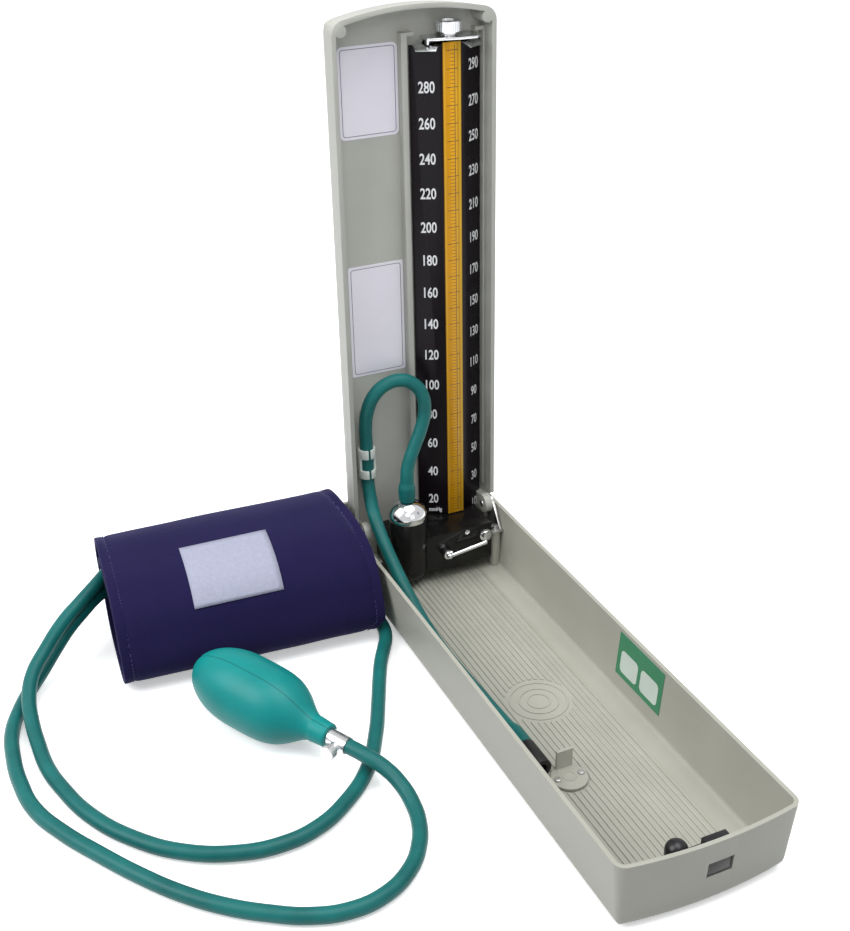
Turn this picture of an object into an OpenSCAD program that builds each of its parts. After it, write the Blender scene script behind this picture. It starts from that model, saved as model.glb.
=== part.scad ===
// Desk mercury manometer in a hinged two-part case, with its arm cuff, hand bulb
// and rubber tubing. Millimetres, +Z up. The origin is the middle of the tray's
// underside, the tray runs along Y, and the lid stands at its upright stop.

/* [Tray] */
// Length of the tray over its rim
tray_l = 349; // [340:1:360]
// Width of the tray over its rim
tray_rim_w = 97; // [96:0.5:104]
// How far each side wall leans out from foot to rim
tray_flare = 3.5; // [1:0.1:5]
// Height of the tray
tray_h = 41; // [40:0.5:44]
// Wall of the tray, measured level
tray_wall = 2.2; // [1.8:0.1:2.6]
// Floor of the tray
tray_floor = 3; // [2:0.1:3.4]
// Rise of the bowed front end at its middle
front_bow = 4.5; // [3:0.5:7]
// Radius of the tray's upright corners
tray_corner_r = 6; // [5:0.5:9]
// Rounding of the tray's outer bottom edge
bottom_edge_r = 7; // [4:0.5:8]
// Rounding between the tray's floor and its walls
floor_edge_r = 2.5; // [1:0.1:3]

/* [Floor pattern] */
// Distance from one floor rib to the next
rib_pitch = 3.2; // [2.8:0.1:4]
// Width of a floor rib
rib_w = 1.5; // [1:0.1:1.8]
// Height of a floor rib
rib_h = 0.6; // [0.3:0.1:0.8]
// Right-hand end of the ribbed field
rib_field_x = 30; // [24:1:34]

/* [Lid] */
// How far the shut lid stays inside the tray's outline at each side
lid_side_step = 1.5; // [1:0.1:2]
// How far the shut lid stays inside the tray's outline in front
lid_front_step = 3; // [2.2:0.1:4]
// Gap between the shut lid and the tray's rim
rim_gap = 0.4; // [0.3:0.05:0.8]
// Depth of the lid's recess
lid_recess = 14.6; // [14:0.1:16]
// Back wall of the lid
lid_back = 2.8; // [2:0.1:3.4]
// Side wall of the lid
lid_wall = 2.5; // [2:0.1:2.8]
// Rise of the lid's bowed top at its middle
lid_bow = 6; // [4:0.5:8]
// Radius of the lid's corners
lid_corner_r = 8; // [6:0.5:10]
// Gap between the lid's rounded tail and the tray's ribs
tail_gap = 0.9; // [0.7:0.1:1.5]
// Gap between the lid's tail and the tray's side walls
tail_side_gap = 0.5; // [0.4:0.1:1]
// Diameter of the round pads in the lid's top corners
pad_d = 6.4; // [5:0.2:7]
// Gap between the lid's side wall and the labels
label_margin = 5.2; // [3:0.1:8]
// Height of the upper label
upper_label_h = 49.2; // [30:0.2:60]
// Distance from the lid's top down to the upper label
upper_label_drop = 20.7; // [16:0.1:30]
// Height of the lower label
lower_label_h = 67.7; // [40:0.1:80]
// Distance from the upper label down to the lower label
label_spacing = 72.2; // [40:0.1:90]

/* [Hinge] */
// Diameter of the hinge pins
pin_d = 4; // [3:0.1:4.5]
// Radial clearance of a turning shaft in its bore
run_gap = 0.06; // [0.03:0.01:0.09]
// Diameter of the lid's hinge ears
ear_d = 12; // [10:0.5:13]
// Thickness of the hinge brackets' steel
bracket_t = 1.4; // [1:0.1:1.6]
// Diameter of the moulded pillars under the brackets
pillar_d = 6.8; // [6:0.1:7.2]
// Height of the pillars' tops above the table
pillar_top = 27.6; // [25:0.2:29]
// Distance from the hinge axis forward to the pillars
pillar_fwd = 13; // [12:0.5:16]

/* [Manometer] */
// Gap between the scale plate's right edge and the lid's side wall
plate_side_gap = 1.2; // [0.6:0.1:3]
// Outer diameter of the glass tube
tube_d = 5; // [4:0.1:6]
// Bore of the glass tube
tube_bore = 3.2; // [2:0.1:3.6]
// Millimetres of column for one millimetre of mercury of pressure
column_pitch = 0.98; // [0.96:0.01:1]
// Height of the zero mark
zero_z = 27.3; // [26:0.1:28]
// Width of the amber scale strip
strip_w = 10.8; // [9:0.1:12]
// Half the width of the folded black scale plate
plate_half_w = 21; // [19:0.1:21.2]
// Thickness of the scale plate's sheet
plate_t = 0.8; // [0.6:0.1:1]
// Outer diameter of the mercury tank
tank_d = 23; // [20:0.5:24]
// Wall of the mercury tank
tank_wall = 2.5; // [2:0.1:3]
// Height of the tank's top edge
tank_top = 50; // [48:0.5:54]
// Diameter of the knurled thumb nut
nut_d = 13.8; // [12:0.1:14]
// Height of the thumb nut
nut_h = 6.4; // [5.6:0.1:8]
// Length of the tank's lock lever
lever_l = 24.6; // [20:0.2:28]

/* [Tubing] */
// Outer diameter of the rubber tubing
hose_d = 8; // [7:0.1:8]
// Length of the clip that holds the tank's hose
clip_h = 19; // [14:0.5:22]

/* [Cuff] */
// Length of the rolled cuff
cuff_l = 145; // [130:1:150]
// Depth of the rolled cuff, front to back
cuff_depth = 92; // [84:1:100]
// Height of the rolled cuff
cuff_h = 63; // [56:1:68]
// Thickness of one layer of the cuff
cuff_t = 9; // [7:0.5:10]
// Turns of the roll
cuff_turns = 1.6; // [1.5:0.1:1.7]

/* [Bulb] */
// Length of the rubber bulb with its neck
bulb_l = 91; // [84:1:94]
// Largest diameter of the bulb
bulb_d = 40.4; // [36:0.2:41]
// Wall of the bulb
bulb_wall = 3; // [2:0.1:4]
// Diameter of the bulb's neck
neck_d = 12.6; // [11:0.1:15]
// Diameter of the release valve
valve_d = 9; // [8:0.1:10]

/* [Hidden] */
$fn = 48;
eps = 0.01;

// Walls lean out by this much at height z.
function flare(z) = tray_flare * z / tray_h;
function inner_half(z) = tray_rim_w / 2 - tray_flare + flare(z) - tray_wall;
lean = atan(tray_flare / tray_h);

// The lid's tail is round about the hinge, so that it clears the floor and the rear wall.
tail_r = tray_h - tray_floor - rib_h - tail_gap;
hinge_y = tray_l / 2 - tray_wall - tail_gap - tail_r;
hinge_z = tray_h;
tail_hw = inner_half(tray_floor) - tail_side_gap;
tail_inner_hw = tail_hw - lid_wall;

rim_y = hinge_y + rim_gap;
panel_y = rim_y + lid_recess;
back_y = panel_y + lid_back;
lid_hw = tray_rim_w / 2 - lid_side_step;
lid_top = hinge_z + hinge_y + tray_l / 2 - lid_front_step;
tube_x = lid_hw - lid_wall - plate_side_gap - plate_half_w;
skirt_z = hinge_z + rim_gap;
lid_lean = 1.1;                           // the lid's walls lean in by this much, rim to panel
shelf_t = 2;
scale_y = rim_y + 4.6;                    // front of the folded plate's ridge
pillar_y = hinge_y - pillar_fwd;
leg_in = tail_hw + 0.9;                   // inner face of a bracket's leg
foot_x = inner_half(pillar_top) - 4.1;    // middle of a pillar and its screw
ear_out = leg_in - 0.4;
ear_in = tail_inner_hw - 1.6;
leg_r = 4.8;                              // round end of a leg
screw_hole_r = 1.2;

tube_y = scale_y + 0.4 + tube_d / 2;      // the tube stands just behind the strip
strip_t = 0.8;
zero_to_300 = 300 * column_pitch;
strip_top = zero_z + zero_to_300 + 4.2;
sheet_top = strip_top - 1.2;              // top edge of the folded plate
plate_bottom = hinge_z - 4.5;
plate_fall = 8;                           // how far the plate's wings fall back
tube_bottom = plate_bottom - 4;
bracket_z = strip_top + 1.5;
bracket_plate_t = 1.4;

tank_x = -16.5;
tank_y = hinge_y - 9;
tank_bottom = hinge_z - 34;
tank_fillet = 8;
base_left = -28;
base_right = min(37, tail_inner_hw - 1);
base_top = plate_bottom - 0.5;
base_bottom = hinge_z - 30;
base_front = hinge_y - 16;
base_back_r = tail_r - lid_wall - 0.3;
lever_x = 5.4;
lever_z = base_top - 12.5;
plug_r = 2.5;
passage_r = 1.5;
lever_y = base_front - 4.5;
lever_rod_r = 1.3;
lever_rise = 8;                           // the open lever points a little upwards

loop_start_z = tank_top + 24;
clip_x = -35;
clip_y = panel_y - 7.5;
clip_bottom = 75;

keeper_x = -16.5;
keeper_y = -74.6;
keeper_r = 9.5;
keeper_top = tray_floor + 1.9;
emblem_x = -0.5;
emblem_y = -13;
emblem_r = 16.3;

latch_post_x = -14.5;
latch_y = -tray_l / 2 + 10.5;
latch_post_r = 2;
latch_sleeve_r = 5.4;
latch_dome_z = tray_h - 8;                // middle of the dome over the pivot
latch_top = tray_h - 6.4;                 // top of the block behind the button
window_x0 = -3.5;
window_x1 = 10.4;
window_z0 = 19;
window_z1 = 28.2;

// ---- shared shapes -------------------------------------------------------

// Outline of the rim, drawn in by d: square at the back, bowed in front.
function arc(cx, cy, r, a0, a1, n) = [for (i = [0 : n]) let (a = a0 + (a1 - a0) * i / n) [cx + r * cos(a), cy + r * sin(a)]];
bow_r = (pow(tray_rim_w / 2, 2) + front_bow * front_bow) / (2 * front_bow);
bow_y = bow_r - tray_l / 2;
function tray_outline(d) = let (
    r = max(1.5, tray_corner_r - d), x = tray_rim_w / 2 - d - r, back = tray_l / 2 - d - r,
    fall = sqrt(pow(bow_r - d - r, 2) - x * x), a = atan2(fall, x), step = (180 - 2 * a) / 14) concat(
    arc(x, back, r, 0, 90, 6), arc(-x, back, r, 90, 180, 6), arc(-x, bow_y - fall, r, 180, 180 + a, 6),
    arc(0, bow_y, bow_r - d, 180 + a + step, 360 - a - step, 12), arc(x, bow_y - fall, r, 360 - a, 360, 6));
function drawn_in(z) = flare(tray_h) - flare(z);

// A block in the tray's shape from z0 to z1, drawn in by inset, its lower edge rounded by r.
module tray_block(z0, z1, inset, r) {
    levels = concat([for (a = [0 : 18 : 72]) [z0 + r * (1 - cos(a)), inset + r * (1 - sin(a))]],
                    [[z0 + r, inset], [z1, inset]]);
    rings = [for (q = levels) [for (p = tray_outline(drawn_in(q[0]) + q[1])) [p[0], p[1], q[0]]]];
    n = len(rings[0]);
    top = len(levels) - 1;
    polyhedron(
        points = [for (ring = rings) each ring],
        faces = concat([[for (i = [0 : n - 1]) i]], [[for (i = [n - 1 : -1 : 0]) top * n + i]],
                       [for (k = [0 : top - 1], i = [0 : n - 1]) let (a = k * n + i, b = k * n + (i + 1) % n)
                        each [[a, a + n, b + n], [a, b + n, b]]]));
}

// Outline of the lid above the tray's rim, seen from the front.
module lid_outline(inset) {
    hw = lid_hw - inset;
    top = lid_top - inset;
    bow_r = (hw * hw + lid_bow * lid_bow) / (2 * lid_bow);
    r = lid_corner_r - inset;
    offset(r = r, $fn = 40) offset(delta = -r) intersection() {
        translate([-hw, skirt_z - 20]) square([2 * hw, top - skirt_z + 20]);
        union() {
            translate([0, top - bow_r]) circle(r = bow_r, $fn = 200);
            translate([-hw, skirt_z - 20]) square([2 * hw, max(10, top - bow_r - skirt_z + 20)]);
        }
    }
}

// Stands a front-view outline up, from y0 back to y1.
module upright(y0, y1) translate([0, y1, 0]) rotate([90, 0, 0]) linear_extrude(y1 - y0) children();

module x_cylinder(x0, x1, r, y = 0, z = 0) translate([x0, y, z]) rotate([0, 90, 0]) cylinder(r = r, h = x1 - x0);
module y_cylinder(y0, y1, r, x = 0, z = 0) translate([x, y1, z]) rotate([90, 0, 0]) cylinder(r = r, h = y1 - y0);

module both_sides() {
    children();
    mirror([1, 0, 0]) children();
}

// A round tube swept along points; radii holds one radius for each point.
function unit(v) = v / norm(v);
function heading(p, i) = unit(p[min(i + 1, len(p) - 1)] - p[max(i - 1, 0)]);
function square_to(n, t) = unit(n - (n * t) * t);
function carried(p, n0) = [for (i = 0, n = square_to(n0, heading(p, 0)); i < len(p);
                                i = i + 1, n = square_to(n, heading(p, min(i, len(p) - 1)))) n];
module swept_tube(p, radii, sides = 10) {
    n = carried(p, [0.13, 0.21, 1]);
    rings = [for (i = [0 : len(p) - 1]) let (t = heading(p, i), b = cross(t, n[i]))
             for (k = [0 : sides - 1]) p[i] + radii[i] * (cos(360 * k / sides) * n[i] + sin(360 * k / sides) * b)];
    last = len(p) - 1;
    polyhedron(
        points = concat([p[0]], rings, [p[last]]),
        faces = concat(
            [for (k = [0 : sides - 1]) [0, 1 + (k + 1) % sides, 1 + k]],
            [for (i = [0 : last - 1], k = [0 : sides - 1]) let (a = 1 + i * sides + k, b = 1 + i * sides + (k + 1) % sides)
             each [[a, b, b + sides], [a, b + sides, a + sides]]],
            [for (k = [0 : sides - 1]) [1 + len(rings), 1 + last * sides + k, 1 + last * sides + (k + 1) % sides]]));
}
function even_radii(p, r) = [for (q = p) r];

// ---- tray ----------------------------------------------------------------

module floor_ribs() {
    count = floor((inner_half(tray_floor) - 1 + rib_field_x) / rib_pitch);
    difference() {
        for (i = [0 : count])
            translate([rib_field_x - i * rib_pitch - rib_w, -tray_l / 2 + 11, tray_floor - 0.5])
                cube([rib_w, tray_l - 19, 0.5 + rib_h]);
        translate([emblem_x, emblem_y, 0]) cylinder(r = emblem_r + 2.5, h = 10);
        translate([keeper_x, keeper_y, 0]) cylinder(r = keeper_r + 1, h = 10);
        translate([latch_post_x, latch_y, 0]) cylinder(r = 5.3, h = 10);
    }
}

module emblem_rings() for (r = [emblem_r, emblem_r * 0.68, emblem_r * 0.4])
    translate([emblem_x, emblem_y, tray_floor - 0.5]) difference() {
        cylinder(r = r, h = 0.9);
        translate([0, 0, -1]) cylinder(r = r - 0.9, h = 3);
    }

module tray_shell() color([0.72, 0.72, 0.68]) {
    difference() {
        union() {
            difference() {
                tray_block(0, tray_h, 0, bottom_edge_r);
                tray_block(tray_floor, tray_h + 2, tray_wall, floor_edge_r);
                translate([window_x0, -tray_l / 2 - 1, window_z0])
                    cube([window_x1 - window_x0, 8, window_z1 - window_z0]);
            }
            floor_ribs();
            emblem_rings();
            both_sides() translate([foot_x, pillar_y, tray_floor - 0.5])
                cylinder(d = pillar_d, h = pillar_top - tray_floor + 0.5);
            translate([latch_post_x, latch_y, tray_floor - 0.5]) {
                cylinder(r = 3.4, h = window_z0 - tray_floor);
                cylinder(r = latch_post_r, h = latch_dome_z - tray_floor);
            }
        }
        both_sides() translate([foot_x, pillar_y, pillar_top - 12])
            cylinder(r = screw_hole_r, h = 13);
        for (s = [-1, 1]) translate([keeper_x + s * 6.7, keeper_y, 1]) cylinder(r = 0.9, h = 10);
    }
}

// An L of steel strip: a foot screwed down on the pillar and a leg up to the pin.
module hinge_bracket() {
    difference() {
        union() {
            translate([foot_x - 3.6, pillar_y - 4, pillar_top])
                cube([leg_in + bracket_t - foot_x + 3.6, 8, bracket_t]);
            translate([leg_in, 0, 0]) rotate([90, 0, 90]) linear_extrude(bracket_t) {
                polygon([[pillar_y - 3, pillar_top], [pillar_y + 4, pillar_top],
                         [hinge_y + leg_r * 0.9, hinge_z - leg_r * 0.44],
                         [hinge_y - leg_r * 0.9, hinge_z + leg_r * 0.44]]);
                translate([hinge_y, hinge_z]) circle(r = leg_r);
            }
        }
        translate([foot_x, pillar_y, pillar_top - 1]) cylinder(r = screw_hole_r + 0.3, h = 4);
        x_cylinder(leg_in - 1, leg_in + bracket_t + 1, pin_d / 2, hinge_y, hinge_z);
    }
}
module hinge_bracket_right() color([0.75, 0.75, 0.76]) hinge_bracket();
module hinge_bracket_left() color([0.75, 0.75, 0.76]) mirror([1, 0, 0]) hinge_bracket();

module bracket_screws() color([0.8, 0.8, 0.8]) both_sides()
    translate([foot_x, pillar_y, 0]) {
        translate([0, 0, pillar_top - 11]) cylinder(r = screw_hole_r, h = 11 + bracket_t + 0.2);
        difference() {
            translate([0, 0, pillar_top + bracket_t]) cylinder(r = leg_in - foot_x - 0.25, h = 2.2);
            translate([-4, -0.4, pillar_top + bracket_t + 1.4]) cube([8, 0.8, 2]);
        }
    }

module hinge_pins() color([0.8, 0.8, 0.8]) both_sides() {
    x_cylinder(ear_in - 0.6, leg_in + bracket_t, pin_d / 2, hinge_y, hinge_z);
    x_cylinder(leg_in + bracket_t, leg_in + bracket_t + 0.8, pin_d / 2 + 0.8, hinge_y, hinge_z);
}

// Raised disc with an upright tab that keeps the packed bulb from sliding.
module keeper_plate() color([0.72, 0.72, 0.68]) difference() {
    union() {
        translate([keeper_x, keeper_y, tray_floor]) cylinder(r = keeper_r, h = keeper_top - tray_floor);
        translate([keeper_x, keeper_y, keeper_top - 0.2]) difference() {
            cylinder(r = 3.6, h = 0.5);
            translate([0, 0, -1]) cylinder(r = 3, h = 3);
        }
        translate([keeper_x - 3.5, keeper_y + 6.8, keeper_top - 0.5]) cube([9, 1.8, 11.6]);
    }
    for (s = [-1, 1]) translate([keeper_x + s * 6.7, keeper_y, 0]) cylinder(r = 0.9, h = 20);
}

module keeper_screws() color([0.75, 0.75, 0.75])
    for (s = [-1, 1]) translate([keeper_x + s * 6.7, keeper_y, 0]) {
        translate([0, 0, 1.4]) cylinder(r = 0.9, h = keeper_top - 1.4);
        translate([0, 0, keeper_top]) cylinder(r = 1.7, h = 0.9);
    }

// Push button, spring arm and pivot sleeve in one moulding behind the front wall.
module latch() color([0.1, 0.1, 0.1]) {
    front = -tray_l / 2 + flare(tray_h) - flare(window_z0) + tray_wall;
    difference() {
        union() {
            translate([latch_post_x, latch_y, window_z0 - 0.3])
                cylinder(r = latch_sleeve_r, h = latch_dome_z - window_z0 + 0.3);
            translate([latch_post_x, latch_y, latch_dome_z]) sphere(r = latch_sleeve_r);
            translate([latch_post_x + 4, latch_y - 2.6, window_z0 + 4])
                cube([window_x0 - latch_post_x, 1.6, latch_top - window_z0 - 5.5]);
            translate([window_x0 + 2.2, front + 0.9, window_z0 - 1.5])
                cube([window_x1 - window_x0 - 1, latch_y + 0.5 - front - 0.9, latch_top - window_z0 + 1.5]);
            translate([window_x0 + 0.3, front - tray_wall + 0.5, window_z0 + 0.3])
                cube([window_x1 - window_x0 - 1.2, tray_wall + 1, window_z1 - window_z0 - 0.6]);
        }
        translate([latch_post_x, latch_y, 0]) cylinder(r = latch_post_r + run_gap, h = latch_dome_z);
    }
}

// Two blank panels on a coloured sticker, on the tray's right inner wall.
module inspection_sticker() color([0.1, 0.5, 0.3])
    translate([inner_half(13), -62, 13]) rotate([0, lean, 0]) translate([-0.25, 0, 0]) cube([0.2, 43, 26]);

// ---- lid -----------------------------------------------------------------

module lid_shell() color([0.62, 0.62, 0.59]) difference() {
    union() {
        // box above the rim, drawn in towards its back, with a chamfered back edge
        difference() {
            hull() {
                upright(rim_y, rim_y + 1) lid_outline(0);
                upright(panel_y - eps, panel_y) lid_outline(lid_lean);
                upright(back_y - eps, back_y) lid_outline(lid_lean + 2.8);
            }
            upright(rim_y - 1, panel_y) lid_outline(lid_wall);
            translate([-100, rim_y - 1, skirt_z - 30]) cube([200, 60, 30]);
        }
        for (s = [-1, 1]) translate([s > 0 ? tail_inner_hw : lid_lean + 0.2 - lid_hw, rim_y, skirt_z])
            cube([lid_hw - lid_lean - 0.2 - tail_inner_hw, lid_recess + 0.5, shelf_t]);
        // round-backed tail that drops into the tray
        intersection() {
            difference() {
                x_cylinder(-tail_hw, tail_hw, tail_r, hinge_y, hinge_z, $fn = 120);
                intersection() {
                    x_cylinder(-tail_inner_hw, tail_inner_hw, tail_r - lid_wall, hinge_y, hinge_z, $fn = 120);
                    translate([-100, 0, 0]) cube([200, panel_y, hinge_z * 3]);
                }
            }
            translate([-100, rim_y, 0]) cube([200, back_y - rim_y, skirt_z + eps]);
        }
        both_sides() x_cylinder(ear_in, ear_out, ear_d / 2, hinge_y, hinge_z);
        // corner pads, flush with the rim
        both_sides() y_cylinder(rim_y, panel_y + 1, pad_d / 2, lid_hw - lid_wall - 2.6, lid_top - lid_bow - 4);
        // ribs that frame the scale
        translate([tube_x - plate_half_w - 5.9, panel_y - 5, skirt_z + 40])
            cube([3.4, 5.5, strip_top - skirt_z - 34]);
        translate([tube_x - plate_half_w - 5.9, panel_y - 5, strip_top + 4]) cube([7.4, 5.5, 2]);
        translate([tube_x + plate_half_w + 0.3, panel_y - 5, skirt_z + 8])
            cube([lid_hw - lid_lean - 0.5 - tube_x - plate_half_w - 0.3, 5.5, strip_top - skirt_z - 2.6]);
        translate([tube_x + plate_half_w - 4.6, panel_y - 5, strip_top + 3.4]) cube([6, 5.5, 2]);
    }
    both_sides() x_cylinder(ear_in - 1, ear_out + 1, pin_d / 2 + run_gap, hinge_y, hinge_z);
    both_sides() x_cylinder(ear_out, lid_hw + 1, leg_r + 0.9, hinge_y, hinge_z);
}

module blank_label(x0, x1, z0, z1, r) upright(panel_y - 0.2, panel_y) translate([x0 + r, z0 + r]) {
    w = x1 - x0 - 2 * r;
    h = z1 - z0 - 2 * r;
    translate([-r, 0]) square([w + 2 * r, h]);
    translate([0, -r]) square([w, h + 2 * r]);
    for (x = [0, w], z = [0, h]) translate([x, z]) circle(r = r);
}
upper_label_z = lid_top - upper_label_drop - upper_label_h;
lower_label_z = upper_label_z - label_spacing - lower_label_h;
label_x0 = -lid_hw + lid_wall + label_margin;
label_x1 = tube_x - plate_half_w - 6.3;
module upper_label() color([0.92, 0.92, 0.92])
    blank_label(label_x0, label_x1, upper_label_z, upper_label_z + upper_label_h, 3);
module lower_label() color([0.88, 0.88, 0.88])
    blank_label(label_x0 + 0.6, label_x1, lower_label_z, lower_label_z + lower_label_h, 1);

// Half-section of the folded plate at height z, from the ridge's centre outwards.
module plate_section(bottom, top, half_w) {
    flat = strip_w / 2 - 0.4;
    slope = plate_fall / (plate_half_w - strip_w / 2);
    reach = half_w - flat;
    translate([0, 0, bottom]) linear_extrude(top - bottom) polygon([
        [tube_d / 2 + 0.3, scale_y], [flat, scale_y], [flat + reach, scale_y + reach * slope],
        [flat + reach, scale_y + reach * slope + plate_t], [flat, scale_y + plate_t],
        [tube_d / 2 + 0.3, scale_y + plate_t]]);
}

module scale_plate() color([0.08, 0.08, 0.09]) translate([tube_x, 0, 0]) {
    low_half = tail_inner_hw - tube_x - 0.4;
    intersection() {
        mirror([1, 0, 0]) plate_section(plate_bottom, sheet_top, plate_half_w);
        translate([-100, 0, 0]) cube([200, panel_y, 400]);
    }
    plate_section(plate_bottom, sheet_top, low_half);
    plate_section(skirt_z + shelf_t + 0.4, sheet_top, plate_half_w);
    // backing band that joins the two wings under the strip's ends
    for (z = [plate_bottom, strip_top - 6]) translate([-tube_d / 2 - 1, scale_y, z]) cube([tube_d + 2, 0.35, 4]);
    // tabs, folded forward from each wing's top edge so that their bare backs show
    for (s = [-1, 1]) translate([s * (strip_w / 2 + 7.5), scale_y + 4.3, sheet_top - 0.4])
        rotate([0, 0, s * 27]) rotate([120, 0, 0]) rotate([90, 0, 0]) translate([0, 0, -0.7]) linear_extrude(0.7)
            polygon([[-7.2, 0], [7.2, 0], [5.5, 4.8], [-5.5, 4.8]]);
}

module scale_strip() color([0.85, 0.62, 0.12])
    translate([tube_x - strip_w / 2, scale_y - strip_t, plate_bottom]) cube([strip_w, strip_t, strip_top - plate_bottom]);

module glass_tube() color([0.85, 0.92, 0.95, 0.5]) translate([tube_x, tube_y, tube_bottom]) difference() {
    cylinder(d = tube_d, h = bracket_z - tube_bottom - 1);
    translate([0, 0, -1]) cylinder(d = tube_bore, h = 400);
}

module lower_tube_seal() color([0.15, 0.15, 0.15]) translate([tube_x, tube_y, base_top - 8]) difference() {
    cylinder(r = tube_d / 2 + 1.2, h = tube_bottom - base_top + 8);
    translate([0, 0, -1]) cylinder(r = passage_r, h = 20);
}

module upper_tube_seal() color([0.15, 0.15, 0.15]) translate([tube_x, tube_y, bracket_z - 1]) difference() {
    cylinder(d = tube_d, h = 1);
    translate([0, 0, -1]) cylinder(r = 0.8, h = 4);
}

module top_bracket() color([0.7, 0.7, 0.71]) difference() {
    union() {
        translate([tube_x, 0, bracket_z]) linear_extrude(bracket_plate_t) polygon([
            [-13.8, rim_y + 5.4], [-9.5, rim_y + 2.4], [3, rim_y - 0.6], [13, rim_y - 1], [16, rim_y + 1.6],
            [16, panel_y], [-13.8, panel_y]]);
        translate([tube_x - 13, panel_y - 1, bracket_z - 5]) cube([28, 1, 6]);
        translate([tube_x - 13.8, rim_y + 5.4, bracket_z - 2.2]) cube([1.2, 2.4, 3]);
    }
    translate([tube_x, tube_y, bracket_z - 1]) cylinder(r = 2.2 + run_gap, h = 5);
}

module bracket_rivets() color([0.8, 0.8, 0.8]) for (x = [tube_x - 8, tube_x + 11])
    y_cylinder(panel_y - 1.8, panel_y - 1, 1.5, x, bracket_z - 2.6);

module tube_washer() color([0.6, 0.6, 0.62]) translate([tube_x, tube_y, bracket_z]) difference() {
    union() {
        translate([0, 0, 0.05]) cylinder(r = 2.2, h = bracket_plate_t + 0.2);
        translate([0, 0, bracket_plate_t + 0.05]) cylinder(r = 4.2, h = 1.2);
        translate([0, 0, bracket_plate_t + 1.2]) cylinder(r = 2.2, h = 3);
    }
    translate([0, 0, -1]) cylinder(r = 0.8, h = 10);
}

module thumb_nut() color([0.82, 0.82, 0.84]) translate([tube_x, tube_y, bracket_z + bracket_plate_t + 1.3]) {
    difference() {
        union() {
            cylinder(r = 4.8, h = 1);
            translate([0, 0, 1]) cylinder(d = nut_d - 0.8, h = nut_h - 1);
            for (a = [0 : 10 : 350]) rotate([0, 0, a]) translate([nut_d / 2 - 0.7, -0.35, 1.4])
                cube([0.7, 0.7, nut_h - 2]);
        }
        translate([0, 0, nut_h - 0.6]) cylinder(r = nut_d / 2 - 1.6, h = 2);
        translate([0, 0, -1]) cylinder(r = 2.2 + run_gap, h = 4.4);
    }
}

// ---- mercury side --------------------------------------------------------

module tank_body() color([0.1, 0.1, 0.1]) difference() {
    translate([tank_x, tank_y, 0]) rotate_extrude() difference() {
        union() {
            translate([0, tank_bottom + tank_fillet]) square([tank_d / 2, tank_top - tank_bottom - tank_fillet]);
            translate([0, tank_bottom]) square([tank_d / 2 - tank_fillet, tank_fillet]);
            intersection() {
                translate([tank_d / 2 - tank_fillet, tank_bottom + tank_fillet]) circle(r = tank_fillet);
                translate([0, tank_bottom]) square([tank_d / 2, tank_fillet]);
            }
        }
        translate([0, tank_bottom + tank_fillet]) square([tank_d / 2 - tank_wall, 100]);
        translate([0, tank_bottom + 3]) square([3, 10]);
    }
    x_cylinder(tank_x, tank_x + tank_d, passage_r, tank_y, lever_z);
}

module mercury_pool() color([0.8, 0.8, 0.82]) translate([tank_x, tank_y, tank_bottom + tank_fillet])
    cylinder(r = tank_d / 2 - tank_wall - 0.05, h = zero_z - tank_bottom - tank_fillet);

module tank_cap() color([0.85, 0.85, 0.87]) translate([tank_x, tank_y, tank_top]) difference() {
    cap_r = tank_d / 2 + 0.2;
    rise = 9;
    dome_r = (cap_r * cap_r + rise * rise) / (2 * rise);
    union() {
        cylinder(r = cap_r, h = 3);
        intersection() {
            translate([0, 0, 3 + rise - dome_r]) sphere(r = dome_r, $fn = 64);
            translate([0, 0, 2.5]) cylinder(r = cap_r, h = 20);
        }
        translate([0, 0, -2]) cylinder(r = tank_d / 2 - tank_wall - 0.05, h = 3);
    }
    translate([0, 0, -3]) cylinder(r = passage_r, h = 30);
    translate([0, 0, 11.2]) cylinder(r = 2.6, h = 10);
    rotate([0, 0, -72]) rotate([0, 55, 0]) translate([0, 0, dome_r - 4]) cylinder(r = 0.9, h = 8);
}

module hose_nipple() color([0.8, 0.8, 0.8]) translate([tank_x, tank_y, tank_top + 11.2]) difference() {
    cylinder(r = 2.6, h = loop_start_z - tank_top - 12.2);
    translate([0, 0, -1]) cylinder(r = passage_r, h = 40);
}

// Drilled ways from the tank through the lock plug to the foot of the glass tube.
module passages(r) {
    x_cylinder(tank_x + tank_d / 2, lever_x - plug_r - 0.3, r, tank_y, lever_z);
    x_cylinder(lever_x + plug_r + 0.3, tube_x + r * 0.7, r, tank_y, lever_z);
    y_cylinder(tank_y, tube_y + r * 0.7, r, tube_x, lever_z);
    translate([tube_x, tube_y, lever_z]) cylinder(r = r, h = zero_z - lever_z);
}

module mercury_column() color([0.8, 0.8, 0.82]) passages(passage_r - 0.05);

module manometer_base() color([0.1, 0.1, 0.1]) difference() {
    intersection() {
        union() {
            translate([tank_x + 8, base_front, base_bottom])
                cube([base_right - tank_x - 8, panel_y - base_front, base_top - base_bottom]);
            translate([base_left, tank_y + 8, base_bottom + 3])
                cube([tank_x + 9 - base_left, panel_y - tank_y - 8, base_top - base_bottom - 3]);
        }
        x_cylinder(-60, 60, base_back_r, hinge_y, hinge_z, $fn = 120);
    }
    translate([tank_x, tank_y, 0]) cylinder(r = tank_d / 2 + 0.1, h = 200);
    y_cylinder(base_front - 1, base_front + 22.2, plug_r + run_gap, lever_x, lever_z);
    passages(passage_r);
    translate([tube_x, tube_y, lever_z]) cylinder(r = passage_r, h = 30);
    translate([tube_x, tube_y, base_top - 8]) cylinder(r = tube_d / 2 + 1.2, h = 30);
    for (p = [[33, lever_z + 4.5], [20, base_top - 2.4]]) y_cylinder(base_front - 1, base_front + 10, 1.3, p[0], p[1]);
}

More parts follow.
